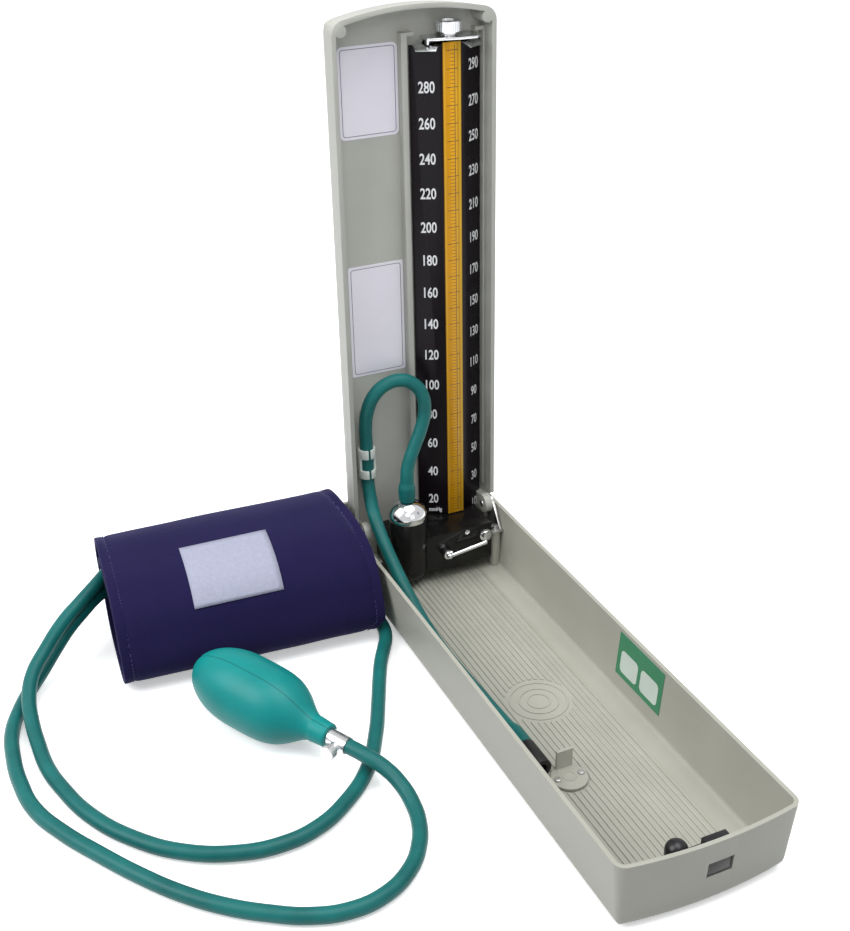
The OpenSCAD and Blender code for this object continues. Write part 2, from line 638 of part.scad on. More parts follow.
module base_screws() color([0.82, 0.82, 0.82]) {
    y_cylinder(base_front - 0.6, base_front, 4, 33, lever_z + 4.5);
    y_cylinder(base_front - 2.6, base_front - 0.6, 3, 33, lever_z + 4.5, $fn = 6);
    y_cylinder(base_front, base_front + 9, 1.3, 33, lever_z + 4.5);
    y_cylinder(base_front - 1, base_front, 1.6, 20, base_top - 2.4);
    y_cylinder(base_front, base_front + 9, 1.3, 20, base_top - 2.4);
}

// Stopcock plug: its cross-hole lines up with the drilled way when the lever lies level.
module lock_plug() color([0.8, 0.8, 0.8]) difference() {
    union() {
        y_cylinder(lever_y, base_front + 21.8, plug_r, lever_x, lever_z);
        y_cylinder(lever_y - 0.6, base_front - 0.4, 3, lever_x, lever_z);
    }
    x_cylinder(lever_x - 5, lever_x + 5, passage_r, tank_y, lever_z);
}

module lock_lever() color([0.85, 0.85, 0.85])
    translate([lever_x, lever_y - 0.6 - lever_rod_r, lever_z]) rotate([0, -lever_rise, 0]) {
        rotate([0, 90, 0]) cylinder(r = lever_rod_r, h = lever_l);
        sphere(r = lever_rod_r + 0.6);
        translate([lever_l, 0, 0]) sphere(r = lever_rod_r + 0.2);
    }

// ---- where the bulb lies ----------------------------------------------

bulb_pitch = 94.6;
bulb_heading = -59.2;
body_l = bulb_l - 9;
belly = 0.43 * body_l;
// Radius of a pear that is r wide at its belly and n wide at its neck, z from its tail.
function pear(z, r, n) = z < belly ? r * sqrt(max(0, 1 - pow(1 - z / belly, 2.1)))
    : n + (r - n) * 0.5 * (1 + cos(180 * pow((z - belly) / (body_l - belly), 2.35)));
bulb_axis = [sin(bulb_pitch) * cos(bulb_heading), sin(bulb_pitch) * sin(bulb_heading), cos(bulb_pitch)];
// The bulb rests on the table on its lowest ring.
bulb_tail_z = max([for (i = [0 : 80]) let (z = body_l * i / 80)
                   pear(z, bulb_d / 2, neck_d / 2) * sin(bulb_pitch) - z * bulb_axis[2]]) + 0.1;
bulb_tail = [-165.9, 71, bulb_tail_z];
module in_bulb() translate(bulb_tail) rotate([0, bulb_pitch, bulb_heading]) children();

// ---- tubing --------------------------------------------------------------

module hose_clip() color([0.85, 0.87, 0.84]) translate([clip_x, clip_y, clip_bottom]) difference() {
    union() {
        cylinder(r = hose_d / 2 + 1.3, h = clip_h);
        translate([-3, 0, 2]) cube([6, panel_y - clip_y, clip_h - 4]);
    }
    translate([0, 0, -1]) cylinder(r = hose_d / 2 + 0.1, h = clip_h + 2);
    translate([-0.7, -20, -1]) cube([1.4, 20, clip_h + 2]);
    translate([-8, -20, clip_h * 0.28]) cube([20, 18.4, clip_h * 0.42]);
}

// Route of the hose from the tank's nipple up, over and down into the clip.
loop_route = [[tank_x, tank_y, tank_top + 12.3], [tank_x, tank_y, loop_start_z - 2], [tank_x, tank_y, loop_start_z],
              [-15.2, 126.5, 84], [-10.5, 128, 94.5], [-4.8, 130, 105],
              [-1, 132, 116], [-1.8, 134, 126.5], [-7, 136, 133.5], [-14, 137.3, 136.4], [-22, 138.5, 135],
              [-29.5, 139.7, 129], [-34, 140.8, 119], [-35.2, 141.8, 108], [clip_x, clip_y, 98],
              [clip_x, clip_y, clip_bottom]];
module tank_hose_loop() color([0.1, 0.42, 0.4])
    swept_tube(loop_route, [for (i = [0 : len(loop_route) - 1]) i < 2 ? 5.2 : hose_d / 2], 12);

// Route of the same hose from the clip down into the tray and along its floor.
connector_x = -28.3;
connector_y = -49.4;
connector_z = 8.8;
lead_route = [[clip_x, clip_y, clip_bottom - 0.1], [clip_x, clip_y, clip_bottom - 3], [-35.1, 141, 67], [-35.5, 136.5, 58.5], [-36, 129, 50.5],
              [-36.2, 118.5, 43], [-36.1, 106.5, 36], [-35.6, 93, 28.5], [-34.6, 78, 20.5], [-33.2, 61, 13.2],
              [-31.9, 43, 9], [-31, 25, 7.9], [-30.2, 5, 7.8], [-29.4, -14, 7.8], [-28.6, -31, 8],
              [-28.3, -37, 8.8], [connector_x, connector_y, connector_z]];
module tank_hose_lead() color([0.1, 0.42, 0.4])
    swept_tube(lead_route, [for (i = [0 : len(lead_route) - 1]) i < len(lead_route) - 2 ? hose_d / 2 : 5]);

module hose_connector() color([0.08, 0.08, 0.08]) difference() {
    y_cylinder(connector_y - 18.6, connector_y - 0.1, 5.2, connector_x, connector_z);
    y_cylinder(connector_y - 20, connector_y - 6.6, 2.45, connector_x, connector_z);
}

// Route of the cuff's tube: out of the roll, down to the table, round and back behind the cuff.
cuff_route = [[-187, 173.5, 37], [-194.5, 166, 36], [-203, 158, 34.2], [-213.5, 149.5, 31.3],
              [-225, 140, 28], [-239, 124, 23], [-249.5, 111, 17.5], [-254.5, 97, 12.5], [-256, 83, 8.3],
              [-256, 65, 5.2], [-255, 47, 4.1], [-251, 28, 4], [-242, 2, 4], [-226.5, -22.5, 4],
              [-207.5, -41, 4], [-184, -53, 4], [-164, -56.5, 4], [-144, -53.3, 4], [-124, -41.8, 4],
              [-106.3, -24.8, 4], [-91.5, -0.5, 4], [-80.8, 22, 4], [-71.8, 42, 4], [-64.5, 57, 4],
              [-58.3, 67.5, 4], [-53.6, 76, 4], [-51, 84.5, 4], [-50.3, 94, 4], [-50.3, 106, 4], [-50.3, 122, 4],
              [-50.3, 140, 4]];
module cuff_hose() color([0.1, 0.42, 0.4]) swept_tube(cuff_route, even_radii(cuff_route, hose_d / 2));

module cuff_connector() color([0.08, 0.08, 0.08]) {
    hose_end = cuff_route[len(cuff_route) - 1];
    y_cylinder(hose_end[1], hose_end[1] + 16, 4, hose_end[0], hose_end[2]);
    y_cylinder(hose_end[1] + 16, hose_end[1] + 24, 2.4, hose_end[0], hose_end[2]);
}

// Route of the bulb's tube: out of the roll, round the front and up to the valve.
bulb_route = [[-187.5, 172, 27], [-194.5, 165.5, 26.5], [-202.5, 157, 25], [-211.5, 148.5, 21.5],
              [-220.5, 141, 16.5], [-230, 133.5, 11], [-240.5, 125.5, 6.5], [-250.5, 115.5, 4.2], [-260, 101.5, 4],
              [-267, 83.5, 4], [-270.5, 62, 4], [-270.5, 41, 4], [-266.5, 18.5, 4], [-257, -3.5, 4],
              [-244, -25.5, 4], [-230, -47, 4], [-215, -66.5, 4], [-199, -82.5, 4], [-183, -94.5, 4],
              [-166.5, -104, 4], [-149, -108.8, 4], [-131.5, -107, 4], [-115, -97.8, 4], [-104, -84.5, 4],
              [-98.4, -72, 4.6], [-96.4, -60, 6.2], [-97.4, -48, 9.2], [-101.2, -37, 12.4],
              bulb_tail + (bulb_l + 23) * bulb_axis, bulb_tail + (bulb_l + 14.2) * bulb_axis];
module bulb_hose() color([0.1, 0.42, 0.4]) swept_tube(bulb_route, even_radii(bulb_route, hose_d / 2));

// ---- cuff ----------------------------------------------------------------

cuff_x = -55;                  // the roll turns about this point, near its right end
cuff_end_x = -52;              // the roll's right end leans on nothing, beside the tray
cuff_foot_x = -56;             // and it is cut back at its foot, where the tube lies
cuff_foot_z = 11;
cuff_y = 126.5;
cuff_yaw = 4.9;
cuff_shear = 0.35;             // the roll leans forward at its foot
layer_gap = 0.8;
steps = 48;                    // points in one turn
flap = -20;                    // where the outer end of the wrap lies, behind the roll
ring_pitch = cuff_t + layer_gap;

function settle(t) = let (s = min(1, max(0, (t - 0.85) / 0.15))) s * s * (3 - 2 * s);
function bulged(c) = sign(c) * pow(abs(c), 2 / 3);
// A point of the roll t turns from the outer end, at depth off under the outer face.
function roll_point(t, off) = let (a = flap + 360 * t, d = off + ring_pitch * settle(t),
    u = (cuff_depth / 2 - d) * bulged(cos(a)), v = (cuff_h / 2 - d) * bulged(sin(a)))
    [u + cuff_shear * v, v + cuff_h / 2];
module layer(t0, t1, off0, off1) {
    n0 = round(t0 * steps);
    n1 = round(t1 * steps);
    polygon(concat([for (i = [n0 : n1]) roll_point(i / steps, off0)],
                   [for (i = [n1 : -1 : n0]) roll_point(i / steps, off1)]));
}
// Lays a section of the roll along its length, from x0 to x1 measured from the right end.
module along_cuff(x0, x1) translate([cuff_x, cuff_y, 0]) rotate([0, 0, -cuff_yaw])
    translate([x0, 0, 0]) rotate([90, 0, 90]) linear_extrude(x1 - x0) children();

pocket = [1.04, 1.44];         // stretch of the wrap that holds the bladder

module cuff_wrap() color([0.2, 0.16, 0.42]) difference() {
    along_cuff(-cuff_l, 12) layer(0, cuff_turns, 0, cuff_t);
    along_cuff(-cuff_l + 12, -12) layer(pocket[0], pocket[1], 3, cuff_t - 3);
    translate([0, 300, 0]) rotate([90, 0, 0]) linear_extrude(300) polygon([
        [cuff_foot_x, -1], [cuff_foot_x, cuff_foot_z], [cuff_end_x, cuff_foot_z + 4], [cuff_end_x, 100],
        [0, 100], [0, -1]]);
}
module cuff_bladder() color([0.15, 0.15, 0.15])
    along_cuff(-cuff_l + 14, -14) layer(pocket[0] + 1 / steps, pocket[1] - 1 / steps, 3.1, cuff_t - 3.1);
module cuff_fastener() color([0.16, 0.13, 0.35])
    along_cuff(-cuff_l + 16, -14) layer(0, 0.125, cuff_t, cuff_t + layer_gap - 0.1);
module cuff_label() color([0.85, 0.83, 0.88]) along_cuff(-101, -50) layer(16 / steps, 24 / steps, -0.5, 0);

// ---- bulb and valve ------------------------------------------------------

module bulb() color([0.1, 0.6, 0.55]) in_bulb() difference() {
    n = 24;
    rotate_extrude(convexity = 4) polygon(concat([[0, 0]],
        [for (i = [1 : n]) let (z = body_l * i / n) [max(pear(z, bulb_d / 2, neck_d / 2), 4.8), z]],
        [[neck_d / 2, bulb_l], [0, bulb_l]]));
    rotate_extrude(convexity = 4) polygon(concat([[0, 12]],
        [for (i = [4 : n]) let (z = body_l * i / n) [max(pear(z, bulb_d / 2 - bulb_wall, 3.5), 3.5), z]],
        [[3.5, bulb_l + 1], [0, bulb_l + 1]]));
    translate([0, 0, -1]) cylinder(r = 4, h = 16);
}
module bulb_inlet_valve() color([0.7, 0.7, 0.7]) in_bulb() difference() {
    translate([0, 0, 1.5]) cylinder(r = 4, h = 11);
    translate([0, 0, -1]) cylinder(r = 1, h = 30);
}

screw_along = bulb_l + 7;
module release_valve() color([0.8, 0.8, 0.8]) in_bulb() difference() {
    union() {
        translate([0, 0, bulb_l - 9]) cylinder(r = 3.5, h = 10);
        translate([0, 0, bulb_l]) cylinder(d = valve_d, h = 12);
        translate([0, 0, bulb_l + 12]) cylinder(r = 3.4, h = 2);
        translate([0, 0, screw_along]) rotate([90, 0, 0]) cylinder(r = 2.7, h = 7);
    }
    translate([0, 0, bulb_l - 10]) cylinder(r = 1.2, h = 30);
    translate([0, 0, screw_along]) rotate([90, 0, 0]) translate([0, 0, 1.5]) cylinder(r = 1.5 + run_gap, h = 8);
}
module release_screw() color([0.85, 0.85, 0.85]) in_bulb() translate([0, 0, screw_along]) rotate([90, 0, 0]) {
    translate([0, 0, 1.8]) cylinder(r = 1.5, h = 5.6);
    translate([0, 0, 7.3]) cylinder(r = 3.6, h = 4);
    for (a = [0 : 20 : 340]) rotate([0, 0, a]) translate([3.5, -0.35, 7.5]) cube([0.6, 0.7, 3.6]);
}

tray_shell();
hinge_bracket_left();
hinge_bracket_right();
bracket_screws();
hinge_pins();
keeper_plate();
keeper_screws();
latch();
inspection_sticker();
lid_shell();
upper_label();
lower_label();
scale_plate();
scale_strip();
glass_tube();
lower_tube_seal();
upper_tube_seal();
top_bracket();
bracket_rivets();
tube_washer();
thumb_nut();
tank_body();
tank_cap();
hose_nipple();
mercury_pool();
mercury_column();
manometer_base();
base_screws();
lock_plug();
lock_lever();
hose_clip();
tank_hose_loop();
tank_hose_lead();
hose_connector();
cuff_wrap();
cuff_bladder();
cuff_fastener();
cuff_label();
cuff_hose();
cuff_connector();
bulb();
bulb_inlet_valve();
release_valve();
release_screw();
bulb_hose();
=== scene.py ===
import math

import bmesh
import bpy
from mathutils import Matrix, Vector, noise


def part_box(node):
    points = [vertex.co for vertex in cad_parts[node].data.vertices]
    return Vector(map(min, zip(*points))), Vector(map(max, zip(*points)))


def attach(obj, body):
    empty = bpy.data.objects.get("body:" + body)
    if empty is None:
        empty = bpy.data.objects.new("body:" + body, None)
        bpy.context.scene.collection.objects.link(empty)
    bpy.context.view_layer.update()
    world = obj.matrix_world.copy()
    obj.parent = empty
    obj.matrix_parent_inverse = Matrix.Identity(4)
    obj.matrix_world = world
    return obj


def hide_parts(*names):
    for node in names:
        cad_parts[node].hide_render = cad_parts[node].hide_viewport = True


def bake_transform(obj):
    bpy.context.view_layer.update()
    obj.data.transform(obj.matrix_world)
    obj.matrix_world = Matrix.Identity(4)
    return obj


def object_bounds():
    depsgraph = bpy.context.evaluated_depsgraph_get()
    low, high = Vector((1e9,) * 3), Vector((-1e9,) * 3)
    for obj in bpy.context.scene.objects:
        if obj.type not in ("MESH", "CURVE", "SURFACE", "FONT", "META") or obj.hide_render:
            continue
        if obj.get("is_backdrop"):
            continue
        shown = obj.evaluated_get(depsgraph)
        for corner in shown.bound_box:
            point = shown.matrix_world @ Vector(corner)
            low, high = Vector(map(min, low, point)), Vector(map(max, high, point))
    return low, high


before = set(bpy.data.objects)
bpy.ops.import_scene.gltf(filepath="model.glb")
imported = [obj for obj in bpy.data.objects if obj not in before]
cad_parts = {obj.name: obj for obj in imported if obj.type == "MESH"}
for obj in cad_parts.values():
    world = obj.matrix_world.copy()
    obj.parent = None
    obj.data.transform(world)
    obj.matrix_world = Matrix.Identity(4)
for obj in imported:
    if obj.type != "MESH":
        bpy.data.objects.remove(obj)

solid_box = [[float(c) for c in corner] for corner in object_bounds()]
scene = bpy.context.scene
scene.view_settings.view_transform = "Standard"

# The camera stands in front of the open case and to its left, a little higher
# than the lid's top, and looks down along the tray.
lens = bpy.data.cameras.new("camera")
lens.sensor_width = 36
lens.lens = 52.32
lens.shift_x = 0.0076
lens.shift_y = -0.0089
camera = bpy.data.objects.new("camera", lens)
scene.collection.objects.link(camera)
across = Vector((0.9128, -0.4078, -0.0210))
upward = Vector((0.2091, 0.4229, 0.8817))
ahead = Vector((0.3507, 0.8093, -0.4713))
camera.matrix_world = (Matrix.Translation((-0.2918, -0.5274, 0.4698))
                       @ Matrix((across, upward, -ahead)).transposed().to_4x4())
scene.camera = camera

# A pale table top and a white room. The table keeps the soft shadow of what
# stands on it; the room shows white to the camera and in the chrome.
table_mesh = bpy.data.meshes.new("table")
bm = bmesh.new()
bmesh.ops.create_grid(bm, x_segments=1, y_segments=1, size=6)
bmesh.ops.translate(bm, verts=bm.verts, vec=(0, 0, -0.0004))
bm.to_mesh(table_mesh)
bm.free()
table = bpy.data.objects.new("table", table_mesh)
scene.collection.objects.link(table)
table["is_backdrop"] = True
table_top = bpy.data.materials.new("table_top")
table_top.use_nodes = True
nodes, links = table_top.node_tree.nodes, table_top.node_tree.links
nodes["Principled BSDF"].inputs["Base Color"].default_value = (0.93, 0.93, 0.93, 1)
nodes["Principled BSDF"].inputs["Roughness"].default_value = 0.75
glow = nodes.new("ShaderNodeEmission")
glow.inputs["Color"].default_value = (1, 1, 1, 1)
glow.inputs["Strength"].default_value = 0.42
both = nodes.new("ShaderNodeAddShader")
seen = nodes.new("ShaderNodeMixShader")
links.new(nodes["Principled BSDF"].outputs[0], both.inputs[0])
links.new(glow.outputs[0], both.inputs[1])
dim = nodes.new("ShaderNodeBsdfDiffuse")
dim.inputs["Color"].default_value = (0.42, 0.43, 0.44, 1)


def seen_or_mirrored(nodes, links):
    """1 for a ray from the camera, off gloss or through glass, and 0 for light on its way to a dull surface."""
    ray = nodes.new("ShaderNodeLightPath")
    share = ray.outputs["Is Camera Ray"]
    for kind in ("Is Glossy Ray", "Is Transmission Ray"):
        either = nodes.new("ShaderNodeMath")
        either.operation = "MAXIMUM"
        links.new(share, either.inputs[0])
        links.new(ray.outputs[kind], either.inputs[1])
        share = either.outputs[0]
    return share


links.new(seen_or_mirrored(nodes, links), seen.inputs[0])
links.new(dim.outputs[0], seen.inputs[1])
links.new(both.outputs[0], seen.inputs[2])
links.new(seen.outputs[0], nodes["Material Output"].inputs["Surface"])
table_mesh.materials.append(table_top)

room = bpy.data.worlds.new("room")
scene.world = room
room.use_nodes = True
nodes, links = room.node_tree.nodes, room.node_tree.links
nodes["Background"].inputs["Color"].default_value = (0.90, 0.95, 1.0, 1)
nodes["Background"].inputs["Strength"].default_value = 0.38
white = nodes.new("ShaderNodeBackground")
white.inputs["Strength"].default_value = 1.0
seen = nodes.new("ShaderNodeMixShader")
links.new(seen_or_mirrored(nodes, links), seen.inputs[0])
links.new(nodes["Background"].outputs[0], seen.inputs[1])
links.new(white.outputs[0], seen.inputs[2])
links.new(seen.outputs[0], nodes["World Output"].inputs["Surface"])

# Three soft lamps light the whole instrument; a weak fourth one fills the lid,
# whose panel stands upright and would stay darker than the tray.
middle_of_case, top_of_lid = (-0.05, 0.05, 0.1), (-0.02, 0.16, 0.38)
for name, place, goal, size, power, spread in (
        ("window_light", (-1.6, 0.15, 1.5), middle_of_case, 1.3, 31, 180),
        ("ceiling_light", (0.2, -0.35, 2.2), middle_of_case, 1.8, 42, 180),
        ("fill_light", (0.3, -1.8, 1.0), middle_of_case, 1.0, 1.5, 180),
        ("lid_light", (-0.25, -0.45, 0.68), top_of_lid, 0.3, 0.16, 60)):
    lamp = bpy.data.lights.new(name, "AREA")
    lamp.size = size
    lamp.energy = power
    lamp.spread = math.radians(spread)
    light = bpy.data.objects.new(name, lamp)
    scene.collection.objects.link(light)
    aim = Vector(goal) - Vector(place)
    light.matrix_world = Matrix.Translation(place) @ aim.to_track_quat("-Z", "Y").to_matrix().to_4x4()


# Rubber tubing, 8 mm outside, green and a little dusty. It is extruded in one
# length; its skin drifts faintly in tone and has a soft sheen.
def shaded(name, light, dark, grain, rough, bump, metal=0.0, sheen=0.0, gleam=0.5):
    """A finish that drifts between light and dark in patches 1/grain metres wide, with a fine raised grain."""
    material = bpy.data.materials.new(name)
    material.use_nodes = True
    nodes, links = material.node_tree.nodes, material.node_tree.links
    surface = nodes["Principled BSDF"]
    surface.inputs["Metallic"].default_value = metal
    surface.inputs["Sheen Weight"].default_value = sheen
    surface.inputs["Specular IOR Level"].default_value = gleam
    place = nodes.new("ShaderNodeTexCoord")
    patches = nodes.new("ShaderNodeTexNoise")
    patches.inputs["Scale"].default_value = grain
    patches.inputs["Detail"].default_value = 6
    links.new(place.outputs["Object"], patches.inputs["Vector"])
    tint = nodes.new("ShaderNodeValToRGB")
    tint.color_ramp.elements[0].position = 0.28
    tint.color_ramp.elements[1].position = 0.72
    tint.color_ramp.elements[0].color = (*dark, 1)
    tint.color_ramp.elements[1].color = (*light, 1)
    links.new(patches.outputs["Fac"], tint.inputs["Fac"])
    links.new(tint.outputs["Color"], surface.inputs["Base Color"])
    gloss = nodes.new("ShaderNodeMapRange")
    uneven = 0.08
    gloss.inputs["To Min"].default_value = rough - uneven
    gloss.inputs["To Max"].default_value = rough + uneven
    links.new(patches.outputs["Fac"], gloss.inputs["Value"])
    links.new(gloss.outputs[0], surface.inputs["Roughness"])
    fine = nodes.new("ShaderNodeTexNoise")
    fine.inputs["Scale"].default_value = grain * 14
    fine.inputs["Detail"].default_value = 3
    links.new(place.outputs["Object"], fine.inputs["Vector"])
    raised = nodes.new("ShaderNodeBump")
    raised.inputs["Strength"].default_value = bump
    raised.inputs["Distance"].default_value = 0.0004
    links.new(fine.outputs["Fac"], raised.inputs["Height"])
    links.new(raised.outputs[0], surface.inputs["Normal"])
    return material


hose_rubber = shaded("hose_rubber", (0.006, 0.143, 0.136), (0.003, 0.096, 0.092), 55, 0.42, 0.22,
                     sheen=0.03, gleam=0.25)
hose_radius = 4


def tube(name, route, radii, material):
    """A smooth hose through the route's points, with a radius at each of them, all in millimetres."""
    curve = bpy.data.curves.new(name, "CURVE")
    curve.dimensions = "3D"
    line = curve.splines.new("BEZIER")
    line.bezier_points.add(len(route) - 1)
    for point, place, radius in zip(line.bezier_points, route, radii):
        point.co = Vector(place) / 1000
        point.handle_left_type = point.handle_right_type = "AUTO"
        point.radius = radius / hose_radius
    curve.bevel_depth = hose_radius / 1000
    curve.bevel_resolution = 7
    curve.resolution_u = 8
    curve.use_fill_caps = True
    curve.materials.append(material)
    piece = bpy.data.objects.new(name, curve)
    scene.collection.objects.link(piece)
    return piece


def along(route):
    """Points close together on the smooth line through the route, in metres."""
    line = bpy.data.curves.new("line", "CURVE")
    line.dimensions = "3D"
    spline = line.splines.new("BEZIER")
    spline.bezier_points.add(len(route) - 1)
    for point, place in zip(spline.bezier_points, route):
        point.co = Vector(place) / 1000
        point.handle_left_type = point.handle_right_type = "AUTO"
    line.resolution_u = 8
    holder = bpy.data.objects.new("line", line)
    scene.collection.objects.link(holder)
    bpy.context.view_layer.update()
    mesh = bpy.data.meshes.new_from_object(holder.evaluated_get(bpy.context.evaluated_depsgraph_get()))
    points = [v.co.copy() for v in mesh.vertices]
    bpy.data.objects.remove(holder)
    bpy.data.meshes.remove(mesh)
    return points


def run_length(points):
    return sum((b - a).length for a, b in zip(points, points[1:]))


cuff_route = [(-189.8, 170.7, 36.7), (-195, 165.5, 35.9), (-203, 158, 34.2), (-213.5, 149.5, 31.3),
              (-225, 140, 28), (-239, 124, 23), (-249.5, 111, 17.5), (-254.5, 97, 12.5), (-256, 83, 8.3),
              (-256, 65, 5.2), (-255, 47, 4.1), (-251, 28, 4), (-242, 2, 4), (-226.5, -22.5, 4),
              (-207.5, -41, 4), (-184, -53, 4), (-164, -56.5, 4), (-144, -53.3, 4), (-124, -41.8, 4),
              (-106.3, -24.8, 4), (-91.5, -0.5, 4), (-80.8, 22, 4), (-71.8, 42, 4), (-64.5, 57, 4),
              (-58.3, 67.5, 4), (-53.6, 76, 4), (-51, 84.5, 4), (-50.3, 94, 4), (-50.3, 106, 4),
              (-50.3, 122, 4), (-50.3, 140, 4)]
cuff_hose = tube("cuff_tubing", cuff_route, [hose_radius] * len(cuff_route), hose_rubber)
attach(cuff_hose, "tray")
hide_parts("cuff_hose")
run_length(along(cuff_route))

bulb_route = [(-190.2, 169.5, 26.9), (-195.5, 164.6, 26.5), (-203.5, 158.5, 26), (-213.4, 150.9, 23.1),
              (-223, 144, 19), (-232.5, 136, 13.5), (-242, 127, 8), (-251.5, 116, 4.8), (-260, 101.5, 4),
              (-267, 83.5, 4), (-269.8, 62, 4), (-269.8, 41, 4), (-266.5, 18.5, 4), (-257, -3.5, 4),
              (-244, -25.5, 4), (-230, -47, 4), (-215, -66.5, 4), (-199, -82.5, 4), (-183, -94.5, 4),
              (-166.5, -104, 4), (-149, -108.8, 4), (-131.5, -107, 4), (-115, -97.8, 4),
              (-104, -84.5, 4), (-98.4, -72, 4.6), (-96.4, -60, 6.2), (-97.4, -48, 9.2),
              (-101.2, -37, 12.4), (-107.7, -26.6, 15), (-113.2, -17.4, 15.9)]
bulb_hose = tube("bulb_tubing", bulb_route, [hose_radius] * len(bulb_route), hose_rubber)
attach(bulb_hose, "tray")
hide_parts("bulb_hose")
run_length(along(bulb_route))

# The manometer's own hose: pushed over the tank's nipple, where it swells, it
# rises, turns over and goes down through the clip in the lid.
loop_route = [(-16.5, 125.9, 62.3), (-16.5, 125.9, 67), (-16.5, 125.9, 71), (-16.3, 125.9, 74),
              (-15.2, 126.5, 84), (-10.5, 128, 94.5), (-4.8, 130, 105), (-1, 132, 116),
              (-1.8, 134, 126.5), (-7, 136, 133.5), (-14, 137.3, 136.4), (-22, 138.5, 135),
              (-29.5, 139.7, 129), (-34, 140.8, 119), (-35.2, 141.8, 108), (-35, 142.4, 98),
              (-35, 142.4, 86), (-35, 142.4, 75)]
loop_hose = tube("tank_tubing_loop", loop_route, [4.9, 5.2, 5.1, 4.2] + [hose_radius] * 14, hose_rubber)
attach(loop_hose, "lid")
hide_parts("tank_hose_loop")
run_length(along(loop_route))

# Below the clip the same hose drops into the tray and lies along its floor. A
# black socket ends it.
lead_route = [(-35, 142.4, 74.9), (-35, 142.4, 72), (-35.1, 141, 67), (-35.5, 136.5, 58.5),
              (-36, 129, 50.5), (-36.2, 118.5, 43), (-36.1, 106.5, 36), (-35.6, 93, 28.5),
              (-34.6, 78, 20.5), (-33.2, 61, 13.2), (-31.9, 43, 9), (-31, 25, 7.9), (-30.2, 5, 7.8),
              (-29.4, -14, 7.8), (-28.6, -31, 8), (-28.3, -37, 8.8), (-28.3, -49.4, 8.8)]
shape = tube("tank_tubing_lead", lead_route, [hose_radius] * 14 + [4.05, 4.7, 5], hose_rubber)
bpy.context.view_layer.update()
lead_mesh = bpy.data.meshes.new_from_object(shape.evaluated_get(bpy.context.evaluated_depsgraph_get()))
bpy.data.objects.remove(shape)
lead_hose = bpy.data.objects.new("tank_tubing_lead", lead_mesh)
scene.collection.objects.link(lead_hose)
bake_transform(lead_hose)
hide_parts("tank_hose_lead")
lead_path = along(lead_route)


# The case is moulded in grey plastic with a fine grain. The tray has a rounded
# rim, tapered walls with a bowed front, and ribs along its floor.
def eased(node, name, material, width, pieces=2):
    """A copy of a node with its sharp edges eased by width millimetres and its curves smoothed."""
    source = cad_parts[node]
    mesh = bpy.data.meshes.new(name)
    bm = bmesh.new()
    bm.from_mesh(source.data)
    bmesh.ops.remove_doubles(bm, verts=bm.verts, dist=1e-6)
    bmesh.ops.dissolve_limit(bm, angle_limit=math.radians(0.6), verts=bm.verts, edges=bm.edges)
    sharp = [e for e in bm.edges if len(e.link_faces) == 2 and e.calc_face_angle(0) > math.radians(28)]
    bmesh.ops.bevel(bm, geom=sharp, offset=width / 1000, offset_type="OFFSET", affect="EDGES",
                    segments=pieces, profile=0.5, material=-1, clamp_overlap=True)
    bmesh.ops.remove_doubles(bm, verts=bm.verts, dist=1e-6)
    for face in bm.faces:
        face.smooth = True
    for edge in bm.edges:
        if len(edge.link_faces) == 2 and edge.calc_face_angle(0) > math.radians(38):
            edge.smooth = False
    bm.to_mesh(mesh)
    bm.free()
    mesh.materials.append(material)
    piece = bpy.data.objects.new(name, mesh)
    scene.collection.objects.link(piece)
    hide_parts(node)
    return piece


# The lid's grey is the tray's grey plastic made lighter: painted light for the upright lid, which the lamps
# light less than the tray.
lid_grey_painted_light = shaded("lid_grey_painted_light", (0.445, 0.445, 0.405), (0.405, 0.405, 0.368), 40, 0.44, 0.16)
tray_grey = shaded("tray_grey", (0.395, 0.390, 0.338), (0.362, 0.357, 0.308), 36, 0.42, 0.16, gleam=0.3)
tray = eased("tray_shell", "tray", tray_grey, 0.5)
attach(tray, "tray")

steel = shaded("plated_steel", (0.62, 0.62, 0.61), (0.42, 0.42, 0.41), 160, 0.34, 0.10, metal=1.0)
for node in ("hinge_bracket_left", "hinge_bracket_right", "bracket_screws", "hinge_pins", "keeper_screws"):
    piece = eased(node, node + "_plated", steel, 0.15)
    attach(piece, "tray")
keeper = eased("keeper_plate", "keeper", tray_grey, 0.4)
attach(keeper, "tray")

# The latch is one moulding in black plastic, glossy where thumbs polish it.
black_plastic = shaded("black_plastic", (0.012, 0.011, 0.013), (0.007, 0.006, 0.008), 90, 0.28, 0.12,
                       gleam=0.35)
latch = eased("latch", "latch_button", black_plastic, 0.5)
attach(latch, "latch")

# The lid: a shallow grey box with a bowed top and a rounded tail that turns
# inside the tray.
# Its grey is painted lighter than the tray's, as painted light on the upright panel.
lid = eased("lid_shell", "lid", lid_grey_painted_light, 0.5)
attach(lid, "lid")

# The steel plate at the tube's top, its rivets and washer, and the knurled nut.
bright_steel = shaded("bright_steel", (0.74, 0.75, 0.76), (0.60, 0.61, 0.62), 120, 0.20, 0.06, metal=1.0)
chrome = shaded("chrome", (0.80, 0.81, 0.83), (0.70, 0.71, 0.73), 60, 0.13, 0.03, metal=1.0)
for node, width in (("top_bracket", 0.2), ("bracket_rivets", 0.15), ("tube_washer", 0.15)):
    piece = eased(node, node + "_steel", bright_steel, width)
    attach(piece, "lid")
nut = eased("thumb_nut", "knurled_nut", chrome, 0.12, pieces=1)
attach(nut, "thumb_nut")

